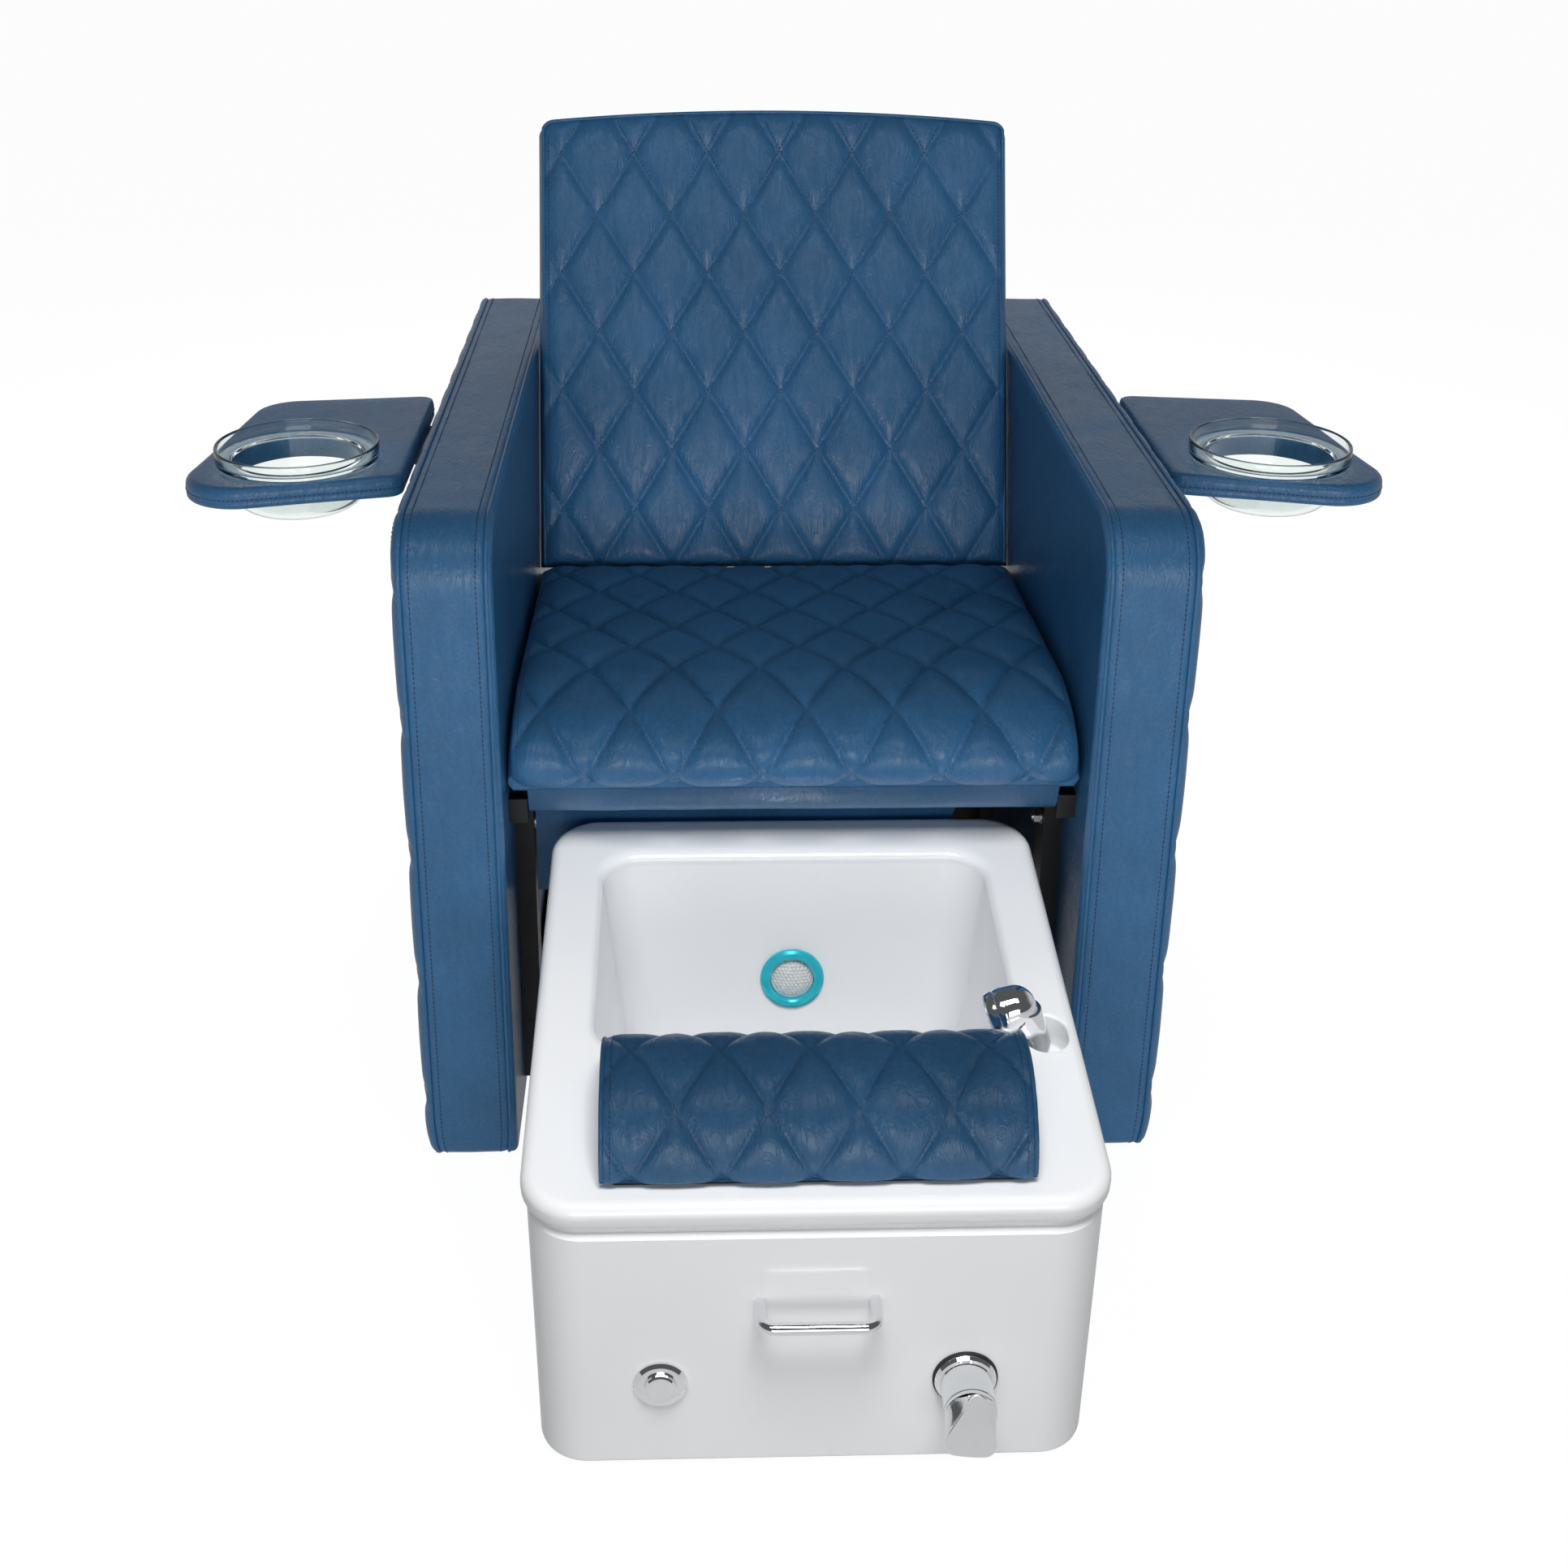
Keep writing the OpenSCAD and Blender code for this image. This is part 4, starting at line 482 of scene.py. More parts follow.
def wood(name):
    m, nt, p, at = material(name)
    n = texture(squeezed(at, (3.0, 22.0, 60.0)), "Noise", Scale=3.0, Detail=7.0, Roughness=0.65,
                Distortion=0.6)
    link(ramp(n, [(0.3, (0.30, 0.17, 0.08)), (0.52, (0.50, 0.33, 0.18)), (0.75, (0.60, 0.43, 0.26))]),
         p.inputs["Base Color"])
    relief(n, 0.2, 0.0006, p.inputs["Normal"])
    sockets(p, Roughness=0.7)
    return m


BLUE = (0.038, 0.156, 0.335)
M = {
    "leather": leather("leather_blue", BLUE),
    # the apron's leather is the blue made 2 % darker, a copy tuned to the apron's brightness behind the tub:
    # painted shade
    "apron": leather("leather_apron", tint(BLUE, 0.98), crease=0.2),
    "thread": plain("thread_blue", (0.030, 0.055, 0.135), 0.62, bump=0.3, bump_scale=1500.0),
    "acrylic": plain("tub_acrylic", (0.90, 0.91, 0.925), 0.16, scale=5.0, vary=0.015, coat=0.35),
    "white": plain("white_plastic", (0.80, 0.80, 0.79), 0.4, bump=0.1),
    "chrome": plain("chrome", (0.86, 0.87, 0.88), 0.055, metallic=1.0, vary=0.02),
    "zinc": plain("zinc", (0.60, 0.61, 0.62), 0.35, metallic=1.0, vary=0.12, bump=0.15),
    "black": plain("frame_black", (0.012, 0.012, 0.013), 0.42, vary=0.2, bump=0.25, bump_scale=900.0),
    "cover": plain("cover_black", (0.010, 0.010, 0.011), 0.6, vary=0.2, bump=0.3, bump_scale=500.0),
    "rubber": plain("black_rubber", (0.012, 0.012, 0.012), 0.55, vary=0.15, bump=0.2),
    "wheel": plain("wheel_rubber", (0.05, 0.05, 0.052), 0.6, vary=0.2, bump=0.3),
    "glide": plain("glide_plastic", (0.02, 0.02, 0.02), 0.5, vary=0.2, bump=0.2),
    "aqua": plain("aqua_ring", (0.03, 0.55, 0.68), 0.18, metallic=0.3, vary=0.06),
    "glass": glass("bowl_glass", (0.93, 0.975, 0.955)),
    "lens": glass("lens_glass", (0.92, 0.94, 0.95), rough=0.06, clear=0.35),
    "spray": plain("spray_plate", (0.55, 0.56, 0.57), 0.3, metallic=1.0, vary=0.05),
    "wood": wood("plywood"),
}

for mat, nodes in {
    "wood": "arm_left_carcass arm_right_carcass",
    "black": "frame back_hinge_bars tray_left_bracket tray_right_bracket tray_left_pivot tray_right_pivot "
             "tub_chassis",
    "cover": "rear_cover seat_board back_board footrest_base",
    "zinc": "arm_bolts arm_washers arm_nuts back_pins caster_forks caster_axles handle_screws lever_pin",
    "glide": "arm_glides",
    "wheel": "wheel_front_left wheel_front_right wheel_rear_left wheel_rear_right",
    "chrome": "pull_handle button_flange button_cap mixer_flange mixer_body mixer_turret mixer_lever "
              "drain_strainer sprayer_socket sprayer_body",
    "rubber": "mixer_gasket button_bellows",
    "aqua": "jet_ring",
    "white": "jet_housing drain_tail air_switch",
    "spray": "sprayer_face",
    "lens": "jet_lens",
    "glass": "bowl_left bowl_right",
}.items():
    for name in nodes.split():
        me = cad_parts[name].data
        me.materials.clear()
        me.materials.append(M[mat])


# ------------------------------------------------------------------ seat
def seat_end(z):
    """Where the seat ends in front of the leaning back, at height z."""
    return BACK_Y + (z - BACK_Z) * math.tan(BACK_LEAN) - 5


# side outline from the rear: y, z and the direction outwards, over the top, the nose and the lip
TOP_POINTS = 160
seat_pts = [(y, SEAT_H - (y - NOSE_Y) * math.tan(math.radians(SEAT_FALL)), 0, 1)
            for y in np.linspace(seat_end(BOARD_Z + 58), NOSE_Y, TOP_POINTS, endpoint=False)]
seat_pts += [(NOSE_Y - (NOSE_Y - SEAT_FRONT) * math.sin(a), NOSE_Z + (SEAT_H - NOSE_Z) * math.cos(a),
              -math.sin(a), math.cos(a)) for a in np.linspace(0, QUARTER, 120, endpoint=False)]
seat_pts += [(SEAT_FRONT + SEAT_LIP * (1 - math.cos(a)), NOSE_Z - (NOSE_Z - BOARD_Z - 5) * math.sin(a),
              -math.cos(a), -math.sin(a)) for a in np.linspace(0, QUARTER, 80)]
seat_pts = np.array(seat_pts)
seat_run = run_along(seat_pts[:, :2])
SEAT_LEN = seat_run[-1]
SEAT_TAUT = seat_run[TOP_POINTS] - 26                # up to the last crossing before the nose
SEAT_STRETCH = 1.43                                  # of the quilting over the nose
seat_crossing = DIAMOND[0] / 2 + 12


def seat_surface(u, v):
    """u across the seat, v along its outline from the last crossing before the nose, as it is sewn."""
    l = SEAT_TAUT + np.where(v > 0, v * SEAT_STRETCH, v)
    y, z, out_y, out_z = (np.interp(l, seat_run, seat_pts[:, k]) for k in range(4))
    ln = np.hypot(out_y, out_z)
    side = edge_fall(SEAT_W / 2 - np.abs(u), 26)
    ends = edge_fall(l, 20) * edge_fall(SEAT_LEN - l, 16)
    q = quilted(u - seat_crossing, v, SEAT_DIAMOND, reach=19, seed=2)
    h = LOFTY * (q - 1) * ends * side - 12 * (1 - side) - 6 * (1 - ends)
    h = h + 0.8 * noise(u / 120, l / 90, 4)
    return np.stack([u, y + h * out_y / ln, z + h * out_z / ln], 1)


uu = lattice(-SEAT_W / 2, SEAT_W / 2, seat_crossing, DIAMOND[0] / 40)
vv = lattice(-SEAT_TAUT, (SEAT_LEN - SEAT_TAUT) / SEAT_STRETCH, 0, SEAT_DIAMOND[1] / 40)
base_z = BOARD_Z + 0.3
base_y = (seat_end(base_z), SEAT_FRONT + SEAT_LIP)


def seat_base(edge, u, v):
    along = (v - vv[0]) / (vv[-1] - vv[0])
    return np.stack([u, base_y[0] + (base_y[1] - base_y[0]) * along, np.full(len(u), base_z)], 1)


pad("seat_pad", uu, vv, SEAT_DIAMOND, seat_surface, seat_base, "chair", bulge=5.6, replaces="seat_cushion",
    fill=0.85)
runs = seam_runs(seat_surface, (-SEAT_W / 2 + 7, vv[0] + 6), (SEAT_W / 2 - 7, vv[-1] - 4),
                 (seat_crossing, 0), SEAT_DIAMOND)
runs += side_rows(seat_surface, SEAT_W / 2 - 6.5, np.arange(vv[0] + 8, vv[-1] - 2, 0.8))
thread("seat_stitches", runs, "chair")


# ------------------------------------------------------------------ back
def back_place(x, n, s):
    """x across the back, n into it and s up its slope."""
    c, t = math.cos(BACK_LEAN), math.sin(BACK_LEAN)
    return np.stack([x, BACK_Y + n * c + s * t, BACK_Z - n * t + s * c], 1)


def back_top(x):
    over = np.maximum(0, np.abs(x) - SEAT_W / 2 + CORNER_R)
    return (BACK_EDGE + BACK_LEN + CROWN * (1 - (2 * x / SEAT_W) ** 2) - CORNER_R
            + np.sqrt(np.maximum(0, CORNER_R ** 2 - over ** 2)))


def back_up(u, v):
    """The grid's v drawn to the crowned top."""
    return v + (back_top(u) - BACK_EDGE - BACK_LEN) * np.clip((v - BACK_EDGE) / BACK_LEN, 0, 1) ** 12


back_crossing = (7.0, BACK_LEN - 51)


def back_surface(u, v):
    side, s = edge_fall(SEAT_W / 2 - np.abs(u), 26), back_up(u, v)
    ends = edge_fall(s - BACK_EDGE, 26) * edge_fall(back_top(u) - s, 30)
    q = quilted(u - back_crossing[0], s - back_crossing[1], DIAMOND, reach=19, seed=3)
    n = 8 * (1 - np.exp(-((s - 190) / 150) ** 2)) + 16 * (1 - side * ends) + LOFTY * (1 - q) * side * ends
    n = n - 0.8 * noise(u / 130, s / 110, 6)
    return back_place(u, n, s)


uu = lattice(-SEAT_W / 2, SEAT_W / 2, back_crossing[0], DIAMOND[0] / 40)
vv = lattice(BACK_EDGE, BACK_EDGE + BACK_LEN, back_crossing[1], DIAMOND[1] / 40)
pad("back_pad", uu, vv, DIAMOND, back_surface,
    lambda edge, u, v: back_place(u, np.full(len(u), BACK_T), back_up(u, v)),
    "backrest", bulge=6.2, replaces="back_cushion", fill=0.85)
runs = seam_runs(back_surface, (-SEAT_W / 2 + 9, BACK_EDGE + 6), (SEAT_W / 2 - 9, BACK_EDGE + BACK_LEN - 9),
                 back_crossing, DIAMOND)
runs += side_rows(back_surface, SEAT_W / 2 - 8, np.arange(BACK_EDGE + 8, BACK_EDGE + BACK_LEN - 12, 0.8))
thread("back_stitches", runs, "backrest")


def back_edge_path(inset, n):
    """Line round the back's two sides and top at depth n."""
    half = [(-SEAT_W / 2 + inset, s)
            for s in np.linspace(BACK_EDGE + 4, BACK_EDGE + BACK_LEN - CORNER_R - 2, 40)]
    xs = [-SEAT_W / 2 + inset + CORNER_R * (1 - math.cos(a)) for a in np.linspace(0.15, 1.5, 8)]
    half += [(x, back_top(x) - inset) for x in xs]
    mid = [(x, back_top(x) - inset) for x in np.linspace(xs[-1] + 6, -xs[-1] - 6, 60)]
    p = np.array(half + mid + [(-x, s) for x, s in reversed(half)])
    return back_place(p[:, 0], np.full(len(p), n), p[:, 1])


piping("back_piping", back_edge_path(1.2, 18.5), 2.2, "backrest")
piping("back_rear_piping", back_edge_path(1.6, 69.0), 2.0, "backrest")


def rounded(w, h, r, n=10):
    """Outline of a rounded rectangle, corner by corner."""
    pts = []
    for cx, cy, a0 in ((1, 1, 0), (-1, 1, 90), (-1, -1, 180), (1, -1, 270)):
        for k in range(n + 1):
            a = math.radians(a0 + 90 * k / n)
            pts.append((cx * (w / 2 - r) + r * math.cos(a), cy * (h / 2 - r) + r * math.sin(a)))
    return np.array(pts)


def behind_back(p, n):
    """Points of a flat outline at depth n behind the back."""
    return back_place(p[:, 0], np.full(len(p), n), p[:, 1] + BACK_EDGE + 2 + (BACK_LEN - 4) / 2)


cover_w, cover_h, cover_n = SEAT_W - 8, BACK_LEN - 4, BACK_T + 0.3
rings = [behind_back(rounded(cover_w - 14, cover_h - 14, 18), cover_n + d) for d in (16, 0)]
rings += [behind_back(rounded(cover_w - 2 * i, cover_h - 2 * i, max(24 - i, 8)), cover_n + d)
          for i, d in [(0.0, 0.2), (0.0, 8)] + [(14 * c, 22 + 10.4 * s) for c, s in bends(9)]]
loft("back_cover", rings, "leather", "backrest", replaces="back_shell", sharp=60, weighted=True, fill=0.5)
p = rounded(cover_w - 36, cover_h - 36, 12, 12)
line = behind_back(np.concatenate([
    np.linspace(a, b, max(2, int(np.linalg.norm(b - a) / 3)), endpoint=False)
    for a, b in zip(p, np.roll(p, -1, 0))]), cover_n + 32.3)
nrm = np.tile([0, math.cos(BACK_LEAN), -math.sin(BACK_LEAN)], (len(line), 1))
thread("back_cover_stitches", [dashes(line, nrm)], "backrest")


# ------------------------------------------------------------------ arms
def arm_outline(inset=0.0):
    """Closed side outline of an arm, front foot first, up the front."""
    y0, y1, z0, z1 = inset, ARM_D - inset, GLIDE_H + inset, ARM_H - inset
    front, rear, foot = (max(r - inset, 2) for r in (ARM_R, ARM_REAR_R, FOOT_R))
    pts = []
    for y, z, r, a0 in ((y0 + foot, z0 + foot, foot, 270), (y0 + front, z1 - front, front, 180),
                        (y1 - rear, z1 - rear, rear, 90), (y1 - foot, z0 + foot, foot, 0)):
        for k in range(13):
            a = math.radians(a0 - 90 * k / 12)
            pts.append((y + r * math.cos(a), z + r * math.sin(a)))
    return pts


def foot_round(p):
    """Draws an arm's two lower edges in towards its middle, in place."""
    t = np.clip((p[:, 2] - GLIDE_H) / 62, 0, 1)
    draw = 1 - np.sqrt(1 - (1 - t) ** 2.2)
    w = np.clip((np.abs(p[:, 0]) - PANEL_X - STRAP_W / 2) / (STRAP_W / 2), -1, 1.3)
    p[:, 0] -= np.sign(p[:, 0]) * draw * np.where(w > 0, 8.5, 5.0) * w
    return p


def dense_loop(pts, step):
    """A closed outline in short steps, and its directions to the left."""
    p = np.array(pts + pts[:1], float)
    out = []
    for a, b in zip(p[:-1], p[1:]):
        n = max(1, int(np.linalg.norm(b - a) / step))
        out += [a + (b - a) * k / n for k in range(n)]
    out = np.array(out)
    out = out[np.linalg.norm(out - np.roll(out, 1, 0), axis=1) > 0.05]
    d = np.roll(out, -1, 0) - np.roll(out, 1, 0)
    d /= np.linalg.norm(d, axis=1)[:, None]
    return out, np.stack([-d[:, 1], d[:, 0]], 1)


def foot_in(z):
    """How far a rounded foot stands back from the arm's front or rear at height z."""
    return FOOT_R - np.sqrt(np.maximum(0, FOOT_R ** 2 - np.maximum(0, FOOT_R - (z - GLIDE_H)) ** 2))


def end_in(z, r):
    """The same of an arm's end that r rounds at the top."""
    return np.where(z < ARM_H - r, foot_in(z), r - np.sqrt(np.maximum(0, r ** 2 - (z - ARM_H + r) ** 2)))


def off_bracket(y, z):
    return np.maximum(np.abs(y - BRACKET_Y) - 31, np.maximum(z - BRACKET_Z[1], BRACKET_Z[0] - z))


def at_x(x, q):
    return np.column_stack([np.full(len(q), x), q])


outer_crossing = (ARM_D / 2, GLIDE_H + DIAMOND[1] / 2)


def outer_surface(side):
    def surface(u, v):
        y0, y1 = end_in(v, ARM_R), ARM_D - end_in(v, ARM_REAR_R)
        y = y0 + (y1 - y0) * u / ARM_D
        d = np.minimum(np.minimum(y - y0, y1 - y), np.minimum(v - GLIDE_H, ARM_H - v))
        q = quilted(y - outer_crossing[0], v - outer_crossing[1], DIAMOND, reach=16, seed=11 + side)
        x = STRAP_X + 6.0 * edge_fall(d, 14) + (PILLOW - 0.3) * q * edge_fall(d, 40)
        near = off_bracket(y, v)                     # the tray's bracket presses the quilting flat
        x = np.where(near < 3, np.minimum(x, 399.5 + np.clip(near, 0, 3) * 4), x)
        return foot_round(np.stack([side * x, y, v], 1))
    return surface


def strap_drop(x):
    """How far the strap falls towards its two edges."""
    d = min(x, STRAP_W - x)
    return 3.6 * (1 - edge_fall(d, 7)) + 0.9 * (1 - edge_fall(d, 30))


loop, loop_n = dense_loop(arm_outline(), 7.0)
across = [0, 0.4, 1.2, 2.6, 4.5, 7, *np.linspace(12, 72, 7), 77, 79.5, 81.4, 82.8, 83.6, STRAP_W]
panel_prof = [(0.6, PANEL_X), (0.6, PANEL_X - 1.5)]
panel_prof += [(0.6 + 8 * c, PANEL_X - 1.5 - 6.5 * s) for c, s in bends(8, 0.2)]
for side, word in ((1, "right"), (-1, "left")):
    surface = outer_surface(side)
    uu = lattice(0, ARM_D, outer_crossing[0], DIAMOND[0] / 24)
    vv = lattice(GLIDE_H, ARM_H, outer_crossing[1], DIAMOND[1] / 24)
    pad(f"arm_{word}_quilted_panel", uu, vv, DIAMOND, surface,
        lambda edge, u, v, s=side: at_x(s * (STRAP_X - 1.0), edge[:, 1:]),
        "chair", walls=1, replaces=f"arm_{word}_outer_panel", fill=0.7)
    runs = []
    for a, b, c in seam_runs(surface, (10, GLIDE_H + 10), (ARM_D - 10, ARM_H - 10), outer_crossing, DIAMOND,
                             ARM_STITCH):
        far = off_bracket(a[:, 1], a[:, 2]) > 3
        if far.any():
            runs.append((a[far], b[far], side * c[far]))
    thread(f"arm_{word}_quilt_stitches", runs, "chair")

    # strap over the front, top and rear
    top = []
    for x in across:
        drop = strap_drop(x)
        ripple = 0.35 * noise(np.arange(len(loop)) / 5.0, x / 25.0, 20 + side) * (drop < 1.0)
        top.append(at_x(side * (PANEL_X + x), loop + loop_n * (ripple - drop)[:, None]))
    top += [at_x(side * (PANEL_X + x), loop - loop_n * 8.0) for x in (STRAP_W, 0)]
    loft(f"arm_{word}_wrap", [foot_round(r) for r in top], "leather", "chair", closed=True,
         replaces=f"arm_{word}_strap", sharp=70, fill=0.4)
    runs = []
    for x in (9.0, STRAP_W - 9.0):
        q, qn = dense_loop(arm_outline(), 2.0)
        line = foot_round(at_x(side * (PANEL_X + x), q - qn * strap_drop(x)))
        runs.append(dashes(line, at_x(0.0, qn), WRAP_STITCH))
    thread(f"arm_{word}_wrap_stitches", runs, "chair")
    for x, inset, tag in ((PANEL_X - 1.2, 1.6, "inner"), (STRAP_X + 1.2, 1.8, "outer")):
        line = foot_round(at_x(side * x, dense_loop(arm_outline(inset), 6.0)[0]))
        line[:, 2] = np.maximum(line[:, 2], GLIDE_H + 3.8)
        piping(f"arm_{word}_{tag}_piping", line, 2.4, "chair", closed=True)

    # inner panel
    q, qn = dense_loop(arm_outline(), 9.0)
    loft(f"arm_{word}_inside", [at_x(side * x, q - qn * inset) for inset, x in panel_prof], "leather", "chair",
         replaces=f"arm_{word}_inner_panel", sharp=60, weighted=True, fill=0.4)


# ------------------------------------------------------------------ trays and bowls
def tray_radius(theta):
    """Distance from the bowl's middle to the tray's outline in direction theta, right tray."""
    x0, x1, y0, y1 = TRAY_X0, TRAY_X0 + TRAY_W, TRAY_FRONT, TRAY_FRONT + TRAY_L
    circles = [(x0 + 16, y0 + 55, 16), (x1 - 58, y0 + 58, 58), (x1 - 80, y1 - 68, 51), (x0 + 14, y1 - 14, 14)]
    phi = np.linspace(0, 2 * math.pi, 1441)
    cos, sin = np.cos(phi), np.sin(phi)
    support = np.max([cx * cos + cy * sin + r for cx, cy, r in circles], axis=0)
    den = math.cos(theta) * cos + math.sin(theta) * sin
    ok = den > 1e-3
    return np.min((support[ok] - (BOWL_X * cos[ok] + BOWL_Y * sin[ok])) / den[ok])


thetas = turns(240)
radii = np.array([tray_radius(t) for t in thetas])


def tray_ring(side, inset, z, t=1.0, wave=0.0):
    """A ring that lies t of the way from the bowl's hole to the tray's outline."""
    hole = NECK_R + 1
    r = hole + (radii - inset - hole) * t
    x, y = BOWL_X + r * np.cos(thetas), BOWL_Y + r * np.sin(thetas)
    return np.stack([side * x, y, z + wave * noise(x / 45, y / 45, 31)], 1)


z0, z1 = TRAY_H - TRAY_T, TRAY_H
tray_rings = [(0, z0 + 3, 0), (0, z1 - 3, 0), (9, z1 - 1.6, 0.006), (9, z1 - 0.7, 0.015), (9, z1 - 0.2, 0.035)]
tray_rings += [(9, z1, t, 0.25) for t in (0.1, 0.25, 0.45, 0.65, 0.85)] + [(9, z1)]
tray_rings += [(9 * (1 - s), z1 - 9 * c) for c, s in bends(7, 0.2)]
tray_rings += [(0, z0 + 9), (0.6, z0 + 7.6), (0, z0 + 6.4)]
tray_rings += [(5 * c, z0 + 5 - 5 * s) for c, s in bends(5, 0.25)]
tray_rings += [(5, z0, 0.02), (5, z0 + 1.5, 0)]

# a bowl from below: rounded bottom, neck, ledge and rim band, then the same inside
GLASS, BEND, LIP = 4.0, 26.0, TRAY_H + BOWL_UP
bend_r, bend_z, inner_r = NECK_R - BEND, TRAY_H - BOWL_DEEP + BEND, BOWL_R - GLASS
bowl_prof = [(bend_r, bend_z - BEND)] + [(bend_r + BEND * math.sin(a), bend_z - BEND * math.cos(a))
                                         for a in np.linspace(0.12, QUARTER, 14)]
bowl_prof += [(NECK_R, z1 - 10), (NECK_R, z1 - 0.4), (NECK_R + 1.2, z1 + 0.2), (BOWL_R - 3, z1 + 0.2),
              (BOWL_R - 0.8, z1 + 1), (BOWL_R, z1 + 3), (BOWL_R, LIP - 2.5)]
bowl_prof += [(BOWL_R - GLASS / 2 + GLASS / 2 * math.cos(a), LIP - 2 + GLASS / 2 * math.sin(a))
              for a in np.linspace(0.2, math.pi - 0.2, 9)]
bowl_prof += [(inner_r, LIP - 2.5), (inner_r, z1 + 6.5), (inner_r - 0.8, z1 + 4.8), (inner_r - 2.5, z1 + 4.2),
              (NECK_R - GLASS + 1.5, z1 + 4.2), (NECK_R - GLASS + 0.3, z1 + 3.4), (NECK_R - GLASS, z1 + 1),
              (NECK_R - GLASS, bend_z)]
bowl_prof += [(bend_r + (BEND - GLASS) * math.cos(a), bend_z - (BEND - GLASS) * math.sin(a))
              for a in np.linspace(0.12, QUARTER, 12)]

for side, word in ((1, "right"), (-1, "left")):
    loft(f"tray_{word}_pad", [tray_ring(side, *ring) for ring in tray_rings], "leather", f"{word}_tray",
         closed=True, replaces=f"tray_{word}", fill=0.6)
    q, qn = dense_loop(list(zip(BOWL_X + radii * np.cos(thetas), BOWL_Y + radii * np.sin(thetas))), 2.0)
    line = np.stack([side * q[:, 0], q[:, 1], np.full(len(q), z0 + 10.6)], 1)
    outwards = np.stack([-side * qn[:, 0], -qn[:, 1], np.zeros(len(q))], 1)
    thread(f"tray_{word}_stitches", [dashes(line, outwards, TRAY_STITCH)], f"{word}_tray", lift=0.1)
    lathe(f"bowl_{word}_glass", bowl_prof, place((side * BOWL_X, BOWL_Y, 0), (0, 0, 1)), "glass",
          f"{word}_bowl", n=128, replaces=f"bowl_{word}", sharp=60)


# ------------------------------------------------------------------ apron behind the tub
back_of_tub = RIM_Y + TUB_L
path = [(46.5, 442), (50, 428), (57, 412), (70, 403), (96, 395), (back_of_tub + 4, TUB_REAR_H + 22)]
path = np.array(path + [(back_of_tub + 9, TUB_REAR_H + z) for z in (8, -15, -60, -96)], float)
for _ in range(3):                                   # each round cuts the corners off
    pairs = np.stack([path[:-1] * 0.75 + path[1:] * 0.25, path[:-1] * 0.25 + path[1:] * 0.75], 1)
    path = np.concatenate([path[:1], pairs.reshape(-1, 2), path[-1:]])
path_run = run_along(path)
APRON_LEN, HALF = path_run[-1], 282.0


def apron_reach(x):
    """How much of its length the apron hangs down at x: its right side is tucked up."""
    return np.interp(x, [-400, 150, 187, 256, 270, 400], [1, 1, 0.52, 0.22, 0.34, 0.3])


def apron_point(x, v, off=0.0):
    s = np.minimum(v, 1.0) * apron_reach(x) * APRON_LEN
    y, z = (np.interp(s, path_run, path[:, k]) for k in (0, 1))
    ty, tz = (np.interp(s + 1.5, path_run, path[:, k]) - np.interp(s - 1.5, path_run, path[:, k])
              for k in (0, 1))
    ln = np.maximum(np.hypot(ty, tz), 1e-6)
    ny, nz = tz / ln, -ty / ln                       # towards the front and up
    deep = np.clip(s / APRON_LEN - 0.35, 0, 1)
    wave = 2.2 * deep * np.sin(2.5 * math.pi * (x + HALF) / HALF + 1.2 * v) + 0.5 * noise(x / 40, s / 30, 40)
    wave = wave * np.clip(s / 30, 0, 1)
    return np.stack([x, y - ny * (off + wave), z - nz * (off + wave)], 1)


xs, vs = np.linspace(-HALF, HALF, 150), np.linspace(0, 1, 60)
X, V = (g.ravel() for g in np.meshgrid(xs, vs))
n, ring = len(X), ring_of(len(vs), len(xs))
faces = cells(len(vs), len(xs)) + [f[::-1] for f in cells(len(vs), len(xs), base=n)]
faces += [[a, b, n + b, n + a] for a, b in zip(ring, ring[1:] + ring[:1])]
apron = piece("apron", np.concatenate([apron_point(X, V, 1.0), apron_point(X, V, -1.0)]), faces, "apron",
              "chair", replaces="valance", sharp=60)
w = np.arange(4, APRON_LEN - 3, 0.8)
hem = thread("apron_stitches", side_rows(lambda u, run: apron_point(u, run / APRON_LEN, 1.0), HALF - 7.0,
                                         w[w / APRON_LEN < 0.99], TRAY_STITCH, facing=-1),
             "chair", slot="leather_apron")
flat = (2 * HALF / 1000, APRON_LEN / 1000)
float(flat[0] * flat[1] * apron_reach(xs).mean())


# ------------------------------------------------------------------ tub
def plan(w, y0, y1, r, n=12):
    return rounded(w, y1 - y0, r, n) + np.array([0, (y0 + y1) / 2])


def on_rim(x, y, h):
    """Points at y along the sloping rim and h above it."""
    c, s = math.cos(RIM_A), math.sin(RIM_A)
    return np.stack([x, RIM_Y + y * c - h * s, TUB_FRONT_H + y * s + h * c], 1)


def rim_ring(w, y0, y1, r, lift):
    p = plan(w, y0, y1, r)
    return on_rim(p[:, 0], p[:, 1], np.full(len(p), float(lift)))


def level_ring(w, y0, y1, r, z):
    p = plan(w, y0, y1, r)
    return np.column_stack([p, np.full(len(p), float(z))])


def rim_start(face, lift):
    return (face - RIM_Y + lift * math.sin(RIM_A)) / math.cos(RIM_A)


def settle(ob):
    """Applies a piece's modifiers."""
    me = bpy.data.meshes.new_from_object(ob.evaluated_get(bpy.context.evaluated_depsgraph_get()))
    ob.modifiers.clear()
    old, ob.data = ob.data, me
    bpy.data.meshes.remove(old)


def cut(ob, cutter):
    m = ob.modifiers.new("cut", "BOOLEAN")
    m.operation, m.solver, m.object = "DIFFERENCE", "EXACT", cutter
    settle(ob)
    bpy.data.objects.remove(cutter)


